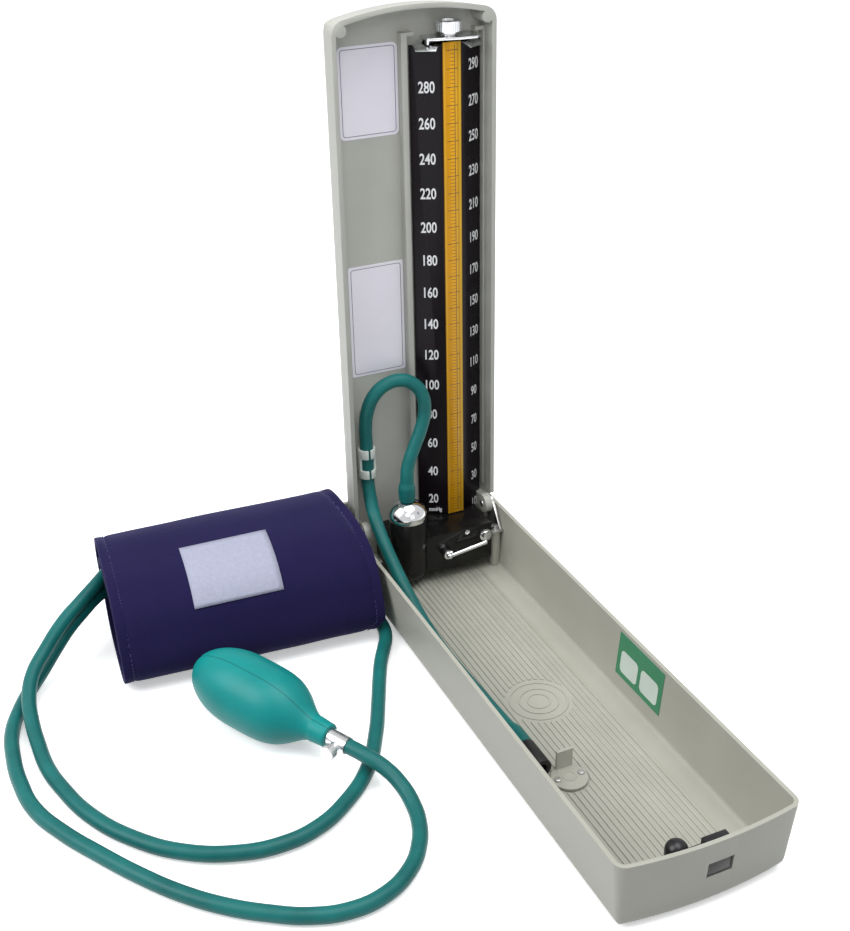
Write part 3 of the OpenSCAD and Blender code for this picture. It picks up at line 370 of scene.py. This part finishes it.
# The mercury tank and its base block are black; the dome, nipple, lock and
# screws are chromed brass.
tank_black = shaded("tank_black", (0.009, 0.008, 0.008), (0.005, 0.005, 0.005), 70, 0.24, 0.08, gleam=0.28)
for node, width in (("tank_body", 0.4), ("manometer_base", 0.6)):
    piece = eased(node, node + "_black", tank_black, width)
    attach(piece, "lid")
for node, body, width in (("tank_cap", "lid", 0.3), ("hose_nipple", "lid", 0.2), ("base_screws", "lid", 0.25),
                          ("lock_plug", "lock", 0.2), ("lock_lever", "lock", 0.1)):
    piece = eased(node, node + "_chromed", chrome, width)
    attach(piece, body)

# Two bare labels are stuck on the lid's panel: glossy white film with a thin
# printed frame, its corners rounded.
label_film = shaded("label_film", (0.83, 0.80, 0.88), (0.77, 0.74, 0.82), 30, 0.30, 0.05)
print_grey = shaded("print_grey", (0.13, 0.12, 0.15), (0.09, 0.08, 0.10), 200, 0.50, 0.05)
for node in ("upper_label", "lower_label"):
    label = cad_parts[node]
    label.data.materials.clear()
    label.data.materials.append(label_film)
    low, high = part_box(node)
    bm = bmesh.new()
    bmesh.ops.create_grid(bm, x_segments=1, y_segments=1, size=0.5)
    margins = 0.003
    bmesh.ops.scale(bm, verts=bm.verts, vec=(high[0] - low[0] - margins, high[2] - low[2] - margins, 1))
    bmesh.ops.bevel(bm, geom=bm.verts, offset=0.0018, affect="VERTICES", segments=5, profile=0.5, material=-1)
    middle = bm.faces[:]
    bmesh.ops.inset_region(bm, faces=middle, thickness=0.00035, use_boundary=True)
    bmesh.ops.delete(bm, geom=middle, context="FACES")
    bmesh.ops.rotate(bm, verts=bm.verts, cent=(0, 0, 0), matrix=Matrix.Rotation(math.radians(90), 3, "X"))
    middle_x, middle_z, face_y = (low[0] + high[0]) / 2, (low[2] + high[2]) / 2, low[1] - 0.00003
    bmesh.ops.translate(bm, verts=bm.verts, vec=(middle_x, face_y, middle_z))
    mesh = bpy.data.meshes.new(node + "_frame")
    bm.to_mesh(mesh)
    bm.free()
    mesh.materials.append(print_grey)
    rule = bpy.data.objects.new(node + "_frame", mesh)
    scene.collection.objects.link(rule)
    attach(rule, "lid")

# The scale is a steel sheet, enamelled black and folded back on both sides of
# its ridge; the bare ears at its top are bent forward under the bracket.
scale_enamel = shaded("scale_enamel", (0.010, 0.007, 0.010), (0.006, 0.004, 0.006), 30, 0.28, 0.05, gleam=0.14)
plate = eased("scale_plate", "scale_sheet", scale_enamel, 0.15)
plate.data.materials.append(bright_steel)
for face in plate.data.polygons:
    in_ears = face.center.z > 0.3205 and abs(face.normal.z) > 0.3
    if in_ears:
        face.material_index = 1
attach(plate, "lid")

# White figures are printed on the two wings, even tens on the left and odd
# tens on the right, 0.98 mm of height for each mmHg above the zero mark.
white_ink = shaded("white_ink", (0.86, 0.86, 0.87), (0.74, 0.74, 0.76), 300, 0.45, 0.05)
figures = bmesh.new()


def print_figure(text, x, y, z, fold, height, squeeze):
    """Adds one line of figures, its middle at x, y, z in millimetres, on a wing turned by fold degrees."""
    font = bpy.data.curves.new("figure", "FONT")
    font.body = text
    font.size = height / 0.69 / 1000
    font.align_x, font.align_y = "CENTER", "CENTER"
    font.offset = 0.00016
    font.extrude = 0.00002
    font.resolution_u = 3
    holder = bpy.data.objects.new("figure", font)
    scene.collection.objects.link(holder)
    bpy.context.view_layer.update()
    mesh = bpy.data.meshes.new_from_object(holder.evaluated_get(bpy.context.evaluated_depsgraph_get()))
    mesh.transform(Matrix.Translation((x / 1000, y / 1000, z / 1000))
                   @ Matrix.Rotation(math.radians(fold), 4, "Z")
                   @ Matrix.Rotation(math.radians(90), 4, "X") @ Matrix.Scale(squeeze, 4, (1, 0, 0)))
    figures.from_mesh(mesh)
    bpy.data.objects.remove(holder)
    bpy.data.meshes.remove(mesh)


ridge_x, ridge_y, zero_z = 22.3, 139.9, 27.3
mm_for_mmhg = 0.98
slope = 8 / 15.6
flat_ridge = 5
ink_gap = 0.08
fold = math.degrees(math.atan(slope))
for value in range(10, 300, 10):
    left = value % 20 == 0
    dx = -13.1 if left else 15.6
    wing_y = ridge_y + (abs(dx) - flat_ridge) * slope
    print_figure(str(value), ridge_x + dx, wing_y - ink_gap, zero_z + mm_for_mmhg * value,
                 -fold if left else fold, 6.0 if left else 5.8, 0.70 if left else 0.66)
unit_dx = 12.2
print_figure("mmHg", ridge_x - unit_dx, ridge_y + (unit_dx - flat_ridge) * slope - ink_gap, zero_z + 12,
             -fold, 2.6, 0.8)
figure_mesh = bpy.data.meshes.new("scale_figures")
figures.to_mesh(figure_mesh)
figures.free()
figure_mesh.materials.append(white_ink)
figure_piece = bpy.data.objects.new("scale_figures", figure_mesh)
scene.collection.objects.link(figure_piece)
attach(figure_piece, "lid")

# The amber strip down the middle is a clear plastic channel over the glass. It
# carries a line every 2 mmHg, a longer one every 10, and one line along it.
amber = bpy.data.materials.new("amber_strip")
amber.use_nodes = True
nodes, links = amber.node_tree.nodes, amber.node_tree.links
surface = nodes["Principled BSDF"]
surface.inputs["Roughness"].default_value = 0.24
surface.inputs["Specular IOR Level"].default_value = 0.25
place = nodes.new("ShaderNodeTexCoord")
split = nodes.new("ShaderNodeSeparateXYZ")
width = nodes.new("ShaderNodeMapRange")
width.inputs["From Min"].default_value = 0.0169
width.inputs["From Max"].default_value = 0.0277
# Across the strip's width the amber runs in painted light and painted shade: bright bands are painted
# highlights of the glass tube behind it, and the darker bands and edges are painted shade.
painted_tube_light = nodes.new("ShaderNodeValToRGB")
links.new(place.outputs["Object"], split.inputs[0])
links.new(split.outputs["X"], width.inputs["Value"])
links.new(width.outputs[0], painted_tube_light.inputs["Fac"])
ramp = painted_tube_light.color_ramp
ramp.elements[0].color = (0.34, 0.13, 0.002, 1)
ramp.elements[1].position = 1.0
ramp.elements[1].color = (0.36, 0.15, 0.004, 1)
for spot, colour in ((0.05, (0.72, 0.40, 0.03)), (0.14, (0.62, 0.28, 0.004)), (0.36, (0.66, 0.30, 0.004)),
                     (0.42, (0.78, 0.38, 0.012)), (0.60, (0.78, 0.38, 0.012)), (0.66, (0.70, 0.35, 0.016)),
                     (0.72, (0.74, 0.41, 0.03)), (0.80, (0.56, 0.25, 0.003)), (0.93, (0.72, 0.44, 0.03))):
    stop = ramp.elements.new(spot)
    stop.color = (*colour, 1)
drift = nodes.new("ShaderNodeTexNoise")
drift.inputs["Scale"].default_value = 35
links.new(place.outputs["Object"], drift.inputs["Vector"])
shade = nodes.new("ShaderNodeMapRange")
shade.inputs["To Min"].default_value = 0.82
shade.inputs["To Max"].default_value = 1.12
links.new(drift.outputs["Fac"], shade.inputs["Value"])
toned = nodes.new("ShaderNodeVectorMath")
toned.operation = "SCALE"
links.new(painted_tube_light.outputs["Color"], toned.inputs[0])
links.new(shade.outputs[0], toned.inputs["Scale"])
links.new(toned.outputs[0], surface.inputs["Base Color"])
strip = eased("scale_strip", "amber_strip", amber, 0.25)
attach(strip, "lid")

dark_ink = shaded("dark_ink", (0.085, 0.040, 0.012), (0.060, 0.028, 0.008), 200, 0.5, 0.04)
strip_face_y = ridge_y - 0.83
lines = bmesh.new()


def rule_line(x0, x1, z0, z1):
    """Adds one printed line on the strip's face, from x0 to x1 and z0 to z1 in millimetres."""
    made = bmesh.ops.create_grid(lines, x_segments=1, y_segments=1, size=0.5)["verts"]
    bmesh.ops.scale(lines, verts=made, vec=((x1 - x0) / 1000, (z1 - z0) / 1000, 1))
    bmesh.ops.rotate(lines, verts=made, cent=(0, 0, 0), matrix=Matrix.Rotation(math.radians(90), 3, "X"))
    bmesh.ops.translate(lines, verts=made, vec=((x0 + x1) / 2000, strip_face_y / 1000, (z0 + z1) / 2000))


for value in range(12, 301, 2):
    z = zero_z + mm_for_mmhg * value
    if value % 10 == 0:
        rule_line(19.0, 25.9, z - 0.17, z + 0.17)
    else:
        rule_line(21.1, 23.7, z - 0.13, z + 0.13)
rule_line(23.7, 24.0, zero_z + 10.5, zero_z + 296.5)
line_mesh = bpy.data.meshes.new("scale_lines")
lines.to_mesh(line_mesh)
lines.free()
line_mesh.materials.append(dark_ink)
line_piece = bpy.data.objects.new("scale_lines", line_mesh)
scene.collection.objects.link(line_piece)
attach(line_piece, "lid")

# The glass tube, its two rubber seals and the mercury keep their solids: they
# are hidden behind the strip and inside the base block.
glass = bpy.data.materials.new("tube_glass")
glass.use_nodes = True
surface = glass.node_tree.nodes["Principled BSDF"]
surface.inputs["Roughness"].default_value = 0.04
surface.inputs["Transmission Weight"].default_value = 1.0
surface.inputs["IOR"].default_value = 1.47
clouding = glass.node_tree.nodes.new("ShaderNodeTexNoise")
clouding.inputs["Scale"].default_value = 60
faint = glass.node_tree.nodes.new("ShaderNodeValToRGB")
faint.color_ramp.elements[0].color = (0.80, 0.86, 0.85, 1)
faint.color_ramp.elements[1].color = (0.93, 0.97, 0.96, 1)
glass.node_tree.links.new(clouding.outputs["Fac"], faint.inputs["Fac"])
glass.node_tree.links.new(faint.outputs["Color"], surface.inputs["Base Color"])
mercury = shaded("mercury", (0.78, 0.79, 0.80), (0.66, 0.67, 0.69), 80, 0.12, 0.02, metal=1.0)
seal_black = shaded("seal_black", (0.013, 0.012, 0.013), (0.007, 0.006, 0.007), 80, 0.40, 0.2, gleam=0.3)
for node, material in (("glass_tube", glass), ("lower_tube_seal", seal_black), ("upper_tube_seal", seal_black),
                       ("mercury_pool", mercury), ("mercury_column", mercury)):
    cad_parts[node].data.materials.clear()
    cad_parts[node].data.materials.append(material)

# The hose clip is a C of pale plastic, and the two sockets on the tubing are
# black hard rubber.
clip_pale = shaded("clip_pale", (0.66, 0.70, 0.66), (0.58, 0.62, 0.58), 90, 0.30, 0.08)
clip = eased("hose_clip", "hose_clip_pale", clip_pale, 0.3)
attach(clip, "lid")
for node in ("hose_connector", "cuff_connector"):
    piece = eased(node, node + "_black", seal_black, 0.4)
    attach(piece, "tray")

# A green inspection sticker with two pale, empty panels on the tray's side.
sticker_green = shaded("sticker_green", (0.040, 0.245, 0.120), (0.030, 0.205, 0.098), 60, 0.38, 0.05)
panel_pale = shaded("panel_pale", (0.62, 0.70, 0.64), (0.55, 0.63, 0.57), 60, 0.40, 0.05)
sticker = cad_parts["inspection_sticker"]
sticker.data.materials.clear()
sticker.data.materials.append(sticker_green)
wall_rise, wall_lean = 41, 3.5
panel_z = 23
sticker_x = 45 + wall_lean * panel_z / wall_rise - 2.2 - 0.25
panels = bmesh.new()
for y0 in (-0.0585, -0.0390):
    made = bmesh.ops.create_grid(panels, x_segments=1, y_segments=1, size=0.5)["verts"]
    bmesh.ops.scale(panels, verts=made, vec=(0.0165, 0.0135, 1))
    bmesh.ops.bevel(panels, geom=made, offset=0.0028, affect="VERTICES", segments=5, profile=0.5, material=-1)
    made = [v for v in panels.verts if abs(v.co.z) < 1e-9 and v.co.length < 0.02]
    bmesh.ops.rotate(panels, verts=made, cent=(0, 0, 0), matrix=Matrix.Rotation(math.radians(90), 3, "X"))
    bmesh.ops.rotate(panels, verts=made, cent=(0, 0, 0), matrix=Matrix.Rotation(math.radians(-90), 3, "Z"))
    leaning = Matrix.Rotation(math.atan(wall_lean / wall_rise), 3, "Y")
    bmesh.ops.rotate(panels, verts=made, cent=(0, 0, 0), matrix=leaning)
    bmesh.ops.translate(panels, verts=made, vec=(sticker_x / 1000 - 0.00005, y0 + 0.00825, panel_z / 1000))
panel_mesh = bpy.data.meshes.new("sticker_panels")
panels.to_mesh(panel_mesh)
panels.free()
panel_mesh.materials.append(panel_pale)
panel_piece = bpy.data.objects.new("sticker_panels", panel_mesh)
scene.collection.objects.link(panel_piece)
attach(panel_piece, "tray")

# The cuff is a long bag of violet twill with a rubber bladder in it, rolled up
# from its inner end. Both long edges are hemmed flat and sewn down.
cuff_x, cuff_y, cuff_turn = -55.0, 126.5, math.radians(-4.9)
wide, half_deep, half_high, hem, taper = 145.0, 46.0, 31.5, 5.2, 0.07
turns, cloth_length = 1.6, 0.420


def roll_point(t, depth):
    """A point of the roll's section, t turns from the outer end and depth millimetres under its outer face."""
    settled = min(1.0, max(0.0, (t - 0.85) / 0.15))
    d = depth + 9.8 * settled * settled * (3 - 2 * settled)
    a = math.radians(-20 + 360 * t)
    c, s = math.cos(a), math.sin(a)
    u = (half_deep - d) * math.copysign(abs(c) ** (2 / 3), c)
    v = (half_high - d) * math.copysign(abs(s) ** (2 / 3), s)
    return u + 0.35 * v, v + half_high


def on_cuff(t, depth, share, from_left=None):
    """A point of the cuff in metres: share runs from 0 at the roll's left end to 1 beside the tray."""
    y, z = roll_point(t, depth)
    end_x = -52 - 4 * min(1.0, max(0.0, (16 - z) / 6))
    right = (end_x - cuff_x + y * math.sin(cuff_turn)) / math.cos(cuff_turn)
    x = -wide + share * (wide + right) if from_left is None else -wide + from_left
    z *= 1 - taper * max(0.0, -x / wide)
    return Vector((cuff_x + x * math.cos(cuff_turn) - y * math.sin(cuff_turn),
                   cuff_y + x * math.sin(cuff_turn) + y * math.cos(cuff_turn), z)) / 1000


def fullness(edge):
    """The bag's thickness as a share of the whole, edge millimetres in from a hemmed edge."""
    return 0.42 + 0.58 * min(1.0, max(0.0, (edge - 3.5) / 12)) ** 0.6


lengthwise = [0, 0.7, 2, 3.6, 4.6, hem, 5.8, 7.4, 11, 15] + [15 + 3.8 * k for k in range(1, 31)]
lengthwise += [wide - s for s in (11, 7.4, 5.8, hem, 4.6, 3.6, 2, 0.7, 0)]
turnwise = 236
cloth = bmesh.new()
bmesh.ops.create_grid(cloth, x_segments=turnwise, y_segments=len(lengthwise) - 1, size=0.5)
uv = cloth.loops.layers.uv.new("cloth")
layer = cloth.verts.layers.deform.verify()
spots = {}
for vert in cloth.verts:
    i = round((vert.co.x + 0.5) * turnwise)
    j = round((vert.co.y + 0.5) * (len(lengthwise) - 1))
    spots[vert] = (i, j)
for face in cloth.faces:
    face.smooth = True
    for loop in face.loops:
        i, j = spots[loop.vert]
        loop[uv].uv = (i / turnwise * cloth_length, lengthwise[j] / 1000)
for vert, (i, j) in spots.items():
    t = turns * i / turnwise
    s = lengthwise[j]
    edge = min(s, wide - s)
    plump = min(1.0, edge / 16) ** 0.5
    broad = noise.noise(Vector((t * 7, s * 0.016, 3.1)))
    small = noise.noise(Vector((t * 19, s * 0.05, 8.7)))
    sag = 0.55 * broad + 0.25 * small
    seam = 0.35 * math.exp(-((edge - hem) / 0.9) ** 2)
    vert.co = on_cuff(t, 4.6 - 3.4 * (1 - fullness(edge)) - sag * plump + seam, s / wide)
for vert, (i, j) in spots.items():
    edge = min(lengthwise[j], wide - lengthwise[j])
    end = min(i, turnwise - i) / 3
    thick = fullness(edge)
    thick -= 0.10 * math.exp(-((edge - hem) / 1.0) ** 2)
    vert[layer][0] = min(thick, 0.45 + 0.2 * end)
cloth_mesh = bpy.data.meshes.new("rolled_cuff")
cloth.to_mesh(cloth_mesh)
cloth.free()
cuff = bpy.data.objects.new("rolled_cuff", cloth_mesh)
scene.collection.objects.link(cuff)
cuff.vertex_groups.new(name="plump")
thicken = cuff.modifiers.new("bag", "SOLIDIFY")
thicken.thickness = 0.0085
thicken.offset = 0
thicken.vertex_group = "plump"
thicken.use_even_offset = False
softened = cuff.modifiers.new("soft", "SUBSURF")
softened.levels = softened.render_levels = 1
bpy.context.view_layer.update()
cuff_mesh = bpy.data.meshes.new_from_object(cuff.evaluated_get(bpy.context.evaluated_depsgraph_get()))
cuff.modifiers.clear()
cuff.data = cuff_mesh

twill = bpy.data.materials.new("violet_twill")
twill.use_nodes = True
nodes, links = twill.node_tree.nodes, twill.node_tree.links
surface = nodes["Principled BSDF"]
surface.inputs["Roughness"].default_value = 0.82
surface.inputs["Specular IOR Level"].default_value = 0.06
surface.inputs["Sheen Weight"].default_value = 0.30
surface.inputs["Sheen Roughness"].default_value = 0.35
surface.inputs["Sheen Tint"].default_value = (0.55, 0.54, 0.85, 1)
weave_place = nodes.new("ShaderNodeUVMap")
weave_place.uv_map = "cloth"
diagonal = nodes.new("ShaderNodeMapping")
diagonal.inputs["Rotation"].default_value = (0, 0, math.radians(40))
ridge = nodes.new("ShaderNodeTexWave")
ridge.inputs["Scale"].default_value = 360
ridge.inputs["Distortion"].default_value = 1.5
ridge.inputs["Detail"].default_value = 1
links.new(weave_place.outputs[0], diagonal.inputs["Vector"])
links.new(diagonal.outputs[0], ridge.inputs["Vector"])
threads = nodes.new("ShaderNodeTexNoise")
threads.inputs["Scale"].default_value = 1500
threads.inputs["Detail"].default_value = 2
links.new(weave_place.outputs[0], threads.inputs["Vector"])
worn = nodes.new("ShaderNodeTexNoise")
worn.inputs["Scale"].default_value = 22
worn.inputs["Detail"].default_value = 5
links.new(weave_place.outputs[0], worn.inputs["Vector"])
mixed = nodes.new("ShaderNodeMath")
mixed.operation = "MULTIPLY_ADD"
links.new(threads.outputs["Fac"], mixed.inputs[0])
mixed.inputs[1].default_value = 0.55
links.new(ridge.outputs["Fac"], mixed.inputs[2])
halved = nodes.new("ShaderNodeMath")
halved.operation = "MULTIPLY"
halved.inputs[1].default_value = 0.62
links.new(mixed.outputs[0], halved.inputs[0])
dye = nodes.new("ShaderNodeValToRGB")
dye.color_ramp.elements[0].color = (0.006, 0.004, 0.026, 1)
dye.color_ramp.elements[1].color = (0.022, 0.018, 0.080, 1)
links.new(halved.outputs[0], dye.inputs["Fac"])
fading = nodes.new("ShaderNodeMapRange")
fading.inputs["To Min"].default_value = 0.80
fading.inputs["To Max"].default_value = 1.20
links.new(worn.outputs["Fac"], fading.inputs["Value"])
toned = nodes.new("ShaderNodeVectorMath")
toned.operation = "SCALE"
links.new(dye.outputs["Color"], toned.inputs[0])
links.new(fading.outputs[0], toned.inputs["Scale"])
links.new(toned.outputs[0], surface.inputs["Base Color"])
raised = nodes.new("ShaderNodeBump")
raised.inputs["Strength"].default_value = 0.45
raised.inputs["Distance"].default_value = 0.00025
links.new(mixed.outputs[0], raised.inputs["Height"])
links.new(raised.outputs[0], surface.inputs["Normal"])
cuff.data.materials.clear()
cuff.data.materials.append(twill)
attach(cuff, "tray")
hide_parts("cuff_wrap")
for node, material in (("cuff_bladder", seal_black), ("cuff_fastener", twill)):
    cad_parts[node].data.materials.clear()
    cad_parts[node].data.materials.append(material)

# Hem stitches: short slanted threads along both hems, around the outer turn.
thread_violet = shaded("thread_violet", (0.075, 0.060, 0.20), (0.050, 0.040, 0.14), 400, 0.7, 0.1)
stitches_each, stitch_turn, stitch_depth, thread = 96, 0.0062, 1.35, 0.0005
sewing = bmesh.new()
for share in (hem / wide, 1 - hem / wide):
    for k in range(stitches_each):
        t = 0.02 + 0.94 * k / stitches_each
        here, there = on_cuff(t, stitch_depth, share), on_cuff(t + stitch_turn, stitch_depth, share)
        made = bmesh.ops.create_icosphere(sewing, subdivisions=1, radius=0.5)["verts"]
        bmesh.ops.scale(sewing, verts=made, vec=((there - here).length, thread, thread))
        lying = (there - here).to_track_quat("X", "Z").to_matrix()
        bmesh.ops.rotate(sewing, verts=made, cent=(0, 0, 0), matrix=lying)
        bmesh.ops.translate(sewing, verts=made, vec=(here + there) / 2)
sewing_mesh = bpy.data.meshes.new("hem_stitches")
sewing.to_mesh(sewing_mesh)
sewing.free()
sewing_mesh.materials.append(thread_violet)
stitches = bpy.data.objects.new("hem_stitches", sewing_mesh)
scene.collection.objects.link(stitches)
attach(stitches, "tray")

# The cuff's label is woven white ribbon, bare, sewn on along its four edges.
label_white = shaded("woven_label", (0.37, 0.38, 0.48), (0.32, 0.33, 0.43), 500, 0.62, 0.30, gleam=0.2)
ribbon = bmesh.new()
bmesh.ops.create_grid(ribbon, x_segments=18, y_segments=14, size=0.5)
for vert in ribbon.verts:
    turn_at = 0.3235 + (vert.co.x + 0.5) * 0.1825
    along_at = 44 + (vert.co.y + 0.5) * 51
    vert.co = on_cuff(turn_at, -0.25, 0, from_left=along_at)
for face in ribbon.faces:
    face.smooth = True
ribbon_mesh = bpy.data.meshes.new("cuff_ribbon")
ribbon.to_mesh(ribbon_mesh)
ribbon.free()
ribbon_mesh.materials.append(label_white)
ribbon_piece = bpy.data.objects.new("cuff_ribbon", ribbon_mesh)
scene.collection.objects.link(ribbon_piece)
thicken = ribbon_piece.modifiers.new("ribbon", "SOLIDIFY")
thicken.thickness = 0.0005
thicken.offset = 0
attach(ribbon_piece, "tray")
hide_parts("cuff_label")

# The bulb is moulded green rubber, egg shaped, with a parting line along it
# and a collar that grips the valve.
bulb_place = (Matrix.Translation((-0.1659, 0.071, 0.024133))
              @ Matrix.Rotation(math.radians(-59.2), 4, "Z")
              @ Matrix.Rotation(math.radians(94.6), 4, "Y"))
body, belly, widest, neck = 82.0, 35.26, 20.2, 6.9
profile = [(0, 0), (2.5, 0.05), (4.2, 0.35)]
for k in range(1, 40):
    z = body * k / 40
    if z < belly:
        r = widest * (1 - (1 - z / belly) ** 2.1) ** 0.5
    else:
        r = neck + (widest - neck) * 0.5 * (1 + math.cos(math.pi * ((z - belly) / (body - belly)) ** 2.35))
    profile.append((max(r, 5.2), z))
profile += [(neck, 81.2), (7.05, 81.8), (7.05, 82.6), (6.6, 88), (6.45, 90.3), (6.2, 90.9), (5.8, 91),
            (3.6, 91), (3.55, 86)]
bm = bmesh.new()
chain = [bm.verts.new((r / 1000, 0, z / 1000)) for r, z in profile]
edges = [bm.edges.new(pair) for pair in zip(chain, chain[1:])]
bmesh.ops.spin(bm, geom=chain + edges, cent=(0, 0, 0), axis=(0, 0, 1), angle=math.radians(360), steps=64,
               use_merge=True)
bmesh.ops.remove_doubles(bm, verts=bm.verts, dist=1e-6)
bmesh.ops.recalc_face_normals(bm, faces=bm.faces)
for face in bm.faces:
    face.smooth = True
bm.transform(bulb_place)
bulb_mesh = bpy.data.meshes.new("squeeze_bulb")
bm.to_mesh(bulb_mesh)
bm.free()
bulb = bpy.data.objects.new("squeeze_bulb", bulb_mesh)
scene.collection.objects.link(bulb)
bulb_rubber = shaded("bulb_rubber", (0.003, 0.245, 0.235), (0.002, 0.200, 0.193), 45, 0.42, 0.12, gleam=0.25)
nodes, links = bulb_rubber.node_tree.nodes, bulb_rubber.node_tree.links
surface = nodes["Principled BSDF"]
place = nodes.new("ShaderNodeTexCoord")
own = nodes.new("ShaderNodeMapping")
own.vector_type = "TEXTURE"
own.inputs["Location"].default_value = bulb_place.translation
own.inputs["Rotation"].default_value = bulb_place.to_euler()
split = nodes.new("ShaderNodeSeparateXYZ")
links.new(place.outputs["Object"], own.inputs["Vector"])
links.new(own.outputs[0], split.inputs[0])
seam_turn = math.radians(194)
across_x = nodes.new("ShaderNodeMath")
across_x.operation = "MULTIPLY"
across_x.inputs[1].default_value = -math.sin(seam_turn)
links.new(split.outputs["X"], across_x.inputs[0])
across_y = nodes.new("ShaderNodeMath")
across_y.operation = "MULTIPLY_ADD"
across_y.inputs[1].default_value = math.cos(seam_turn)
links.new(split.outputs["Y"], across_y.inputs[0])
links.new(across_x.outputs[0], across_y.inputs[2])
off_line = nodes.new("ShaderNodeMath")
off_line.operation = "ABSOLUTE"
links.new(across_y.outputs[0], off_line.inputs[0])
line = nodes.new("ShaderNodeMapRange")
line.inputs["From Min"].default_value = 0.00012
line.inputs["From Max"].default_value = 0.00034
links.new(off_line.outputs[0], line.inputs["Value"])
inked = nodes.new("ShaderNodeMapRange")
inked.inputs["To Min"].default_value = 0.45
inked.inputs["To Max"].default_value = 1.0
links.new(line.outputs[0], inked.inputs["Value"])
toned = nodes.new("ShaderNodeVectorMath")
toned.operation = "SCALE"
old = surface.inputs["Base Color"].links[0]
source = old.from_socket
links.remove(old)
links.new(source, toned.inputs[0])
links.new(inked.outputs[0], toned.inputs["Scale"])
links.new(toned.outputs[0], surface.inputs["Base Color"])
bulb_mesh.materials.append(bulb_rubber)
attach(bulb, "tray")
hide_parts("bulb")

# The valve and its release screw are turned brass, nickel plated.
for node, body, width in (("release_valve", "tray", 0.3), ("bulb_inlet_valve", "tray", 0.3),
                          ("release_screw", "release_screw", 0.12)):
    piece = eased(node, node + "_plated", bright_steel, width, pieces=1)
    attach(piece, body)

size = {"cad": solid_box, "visual": [[float(c) for c in corner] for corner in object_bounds()]}
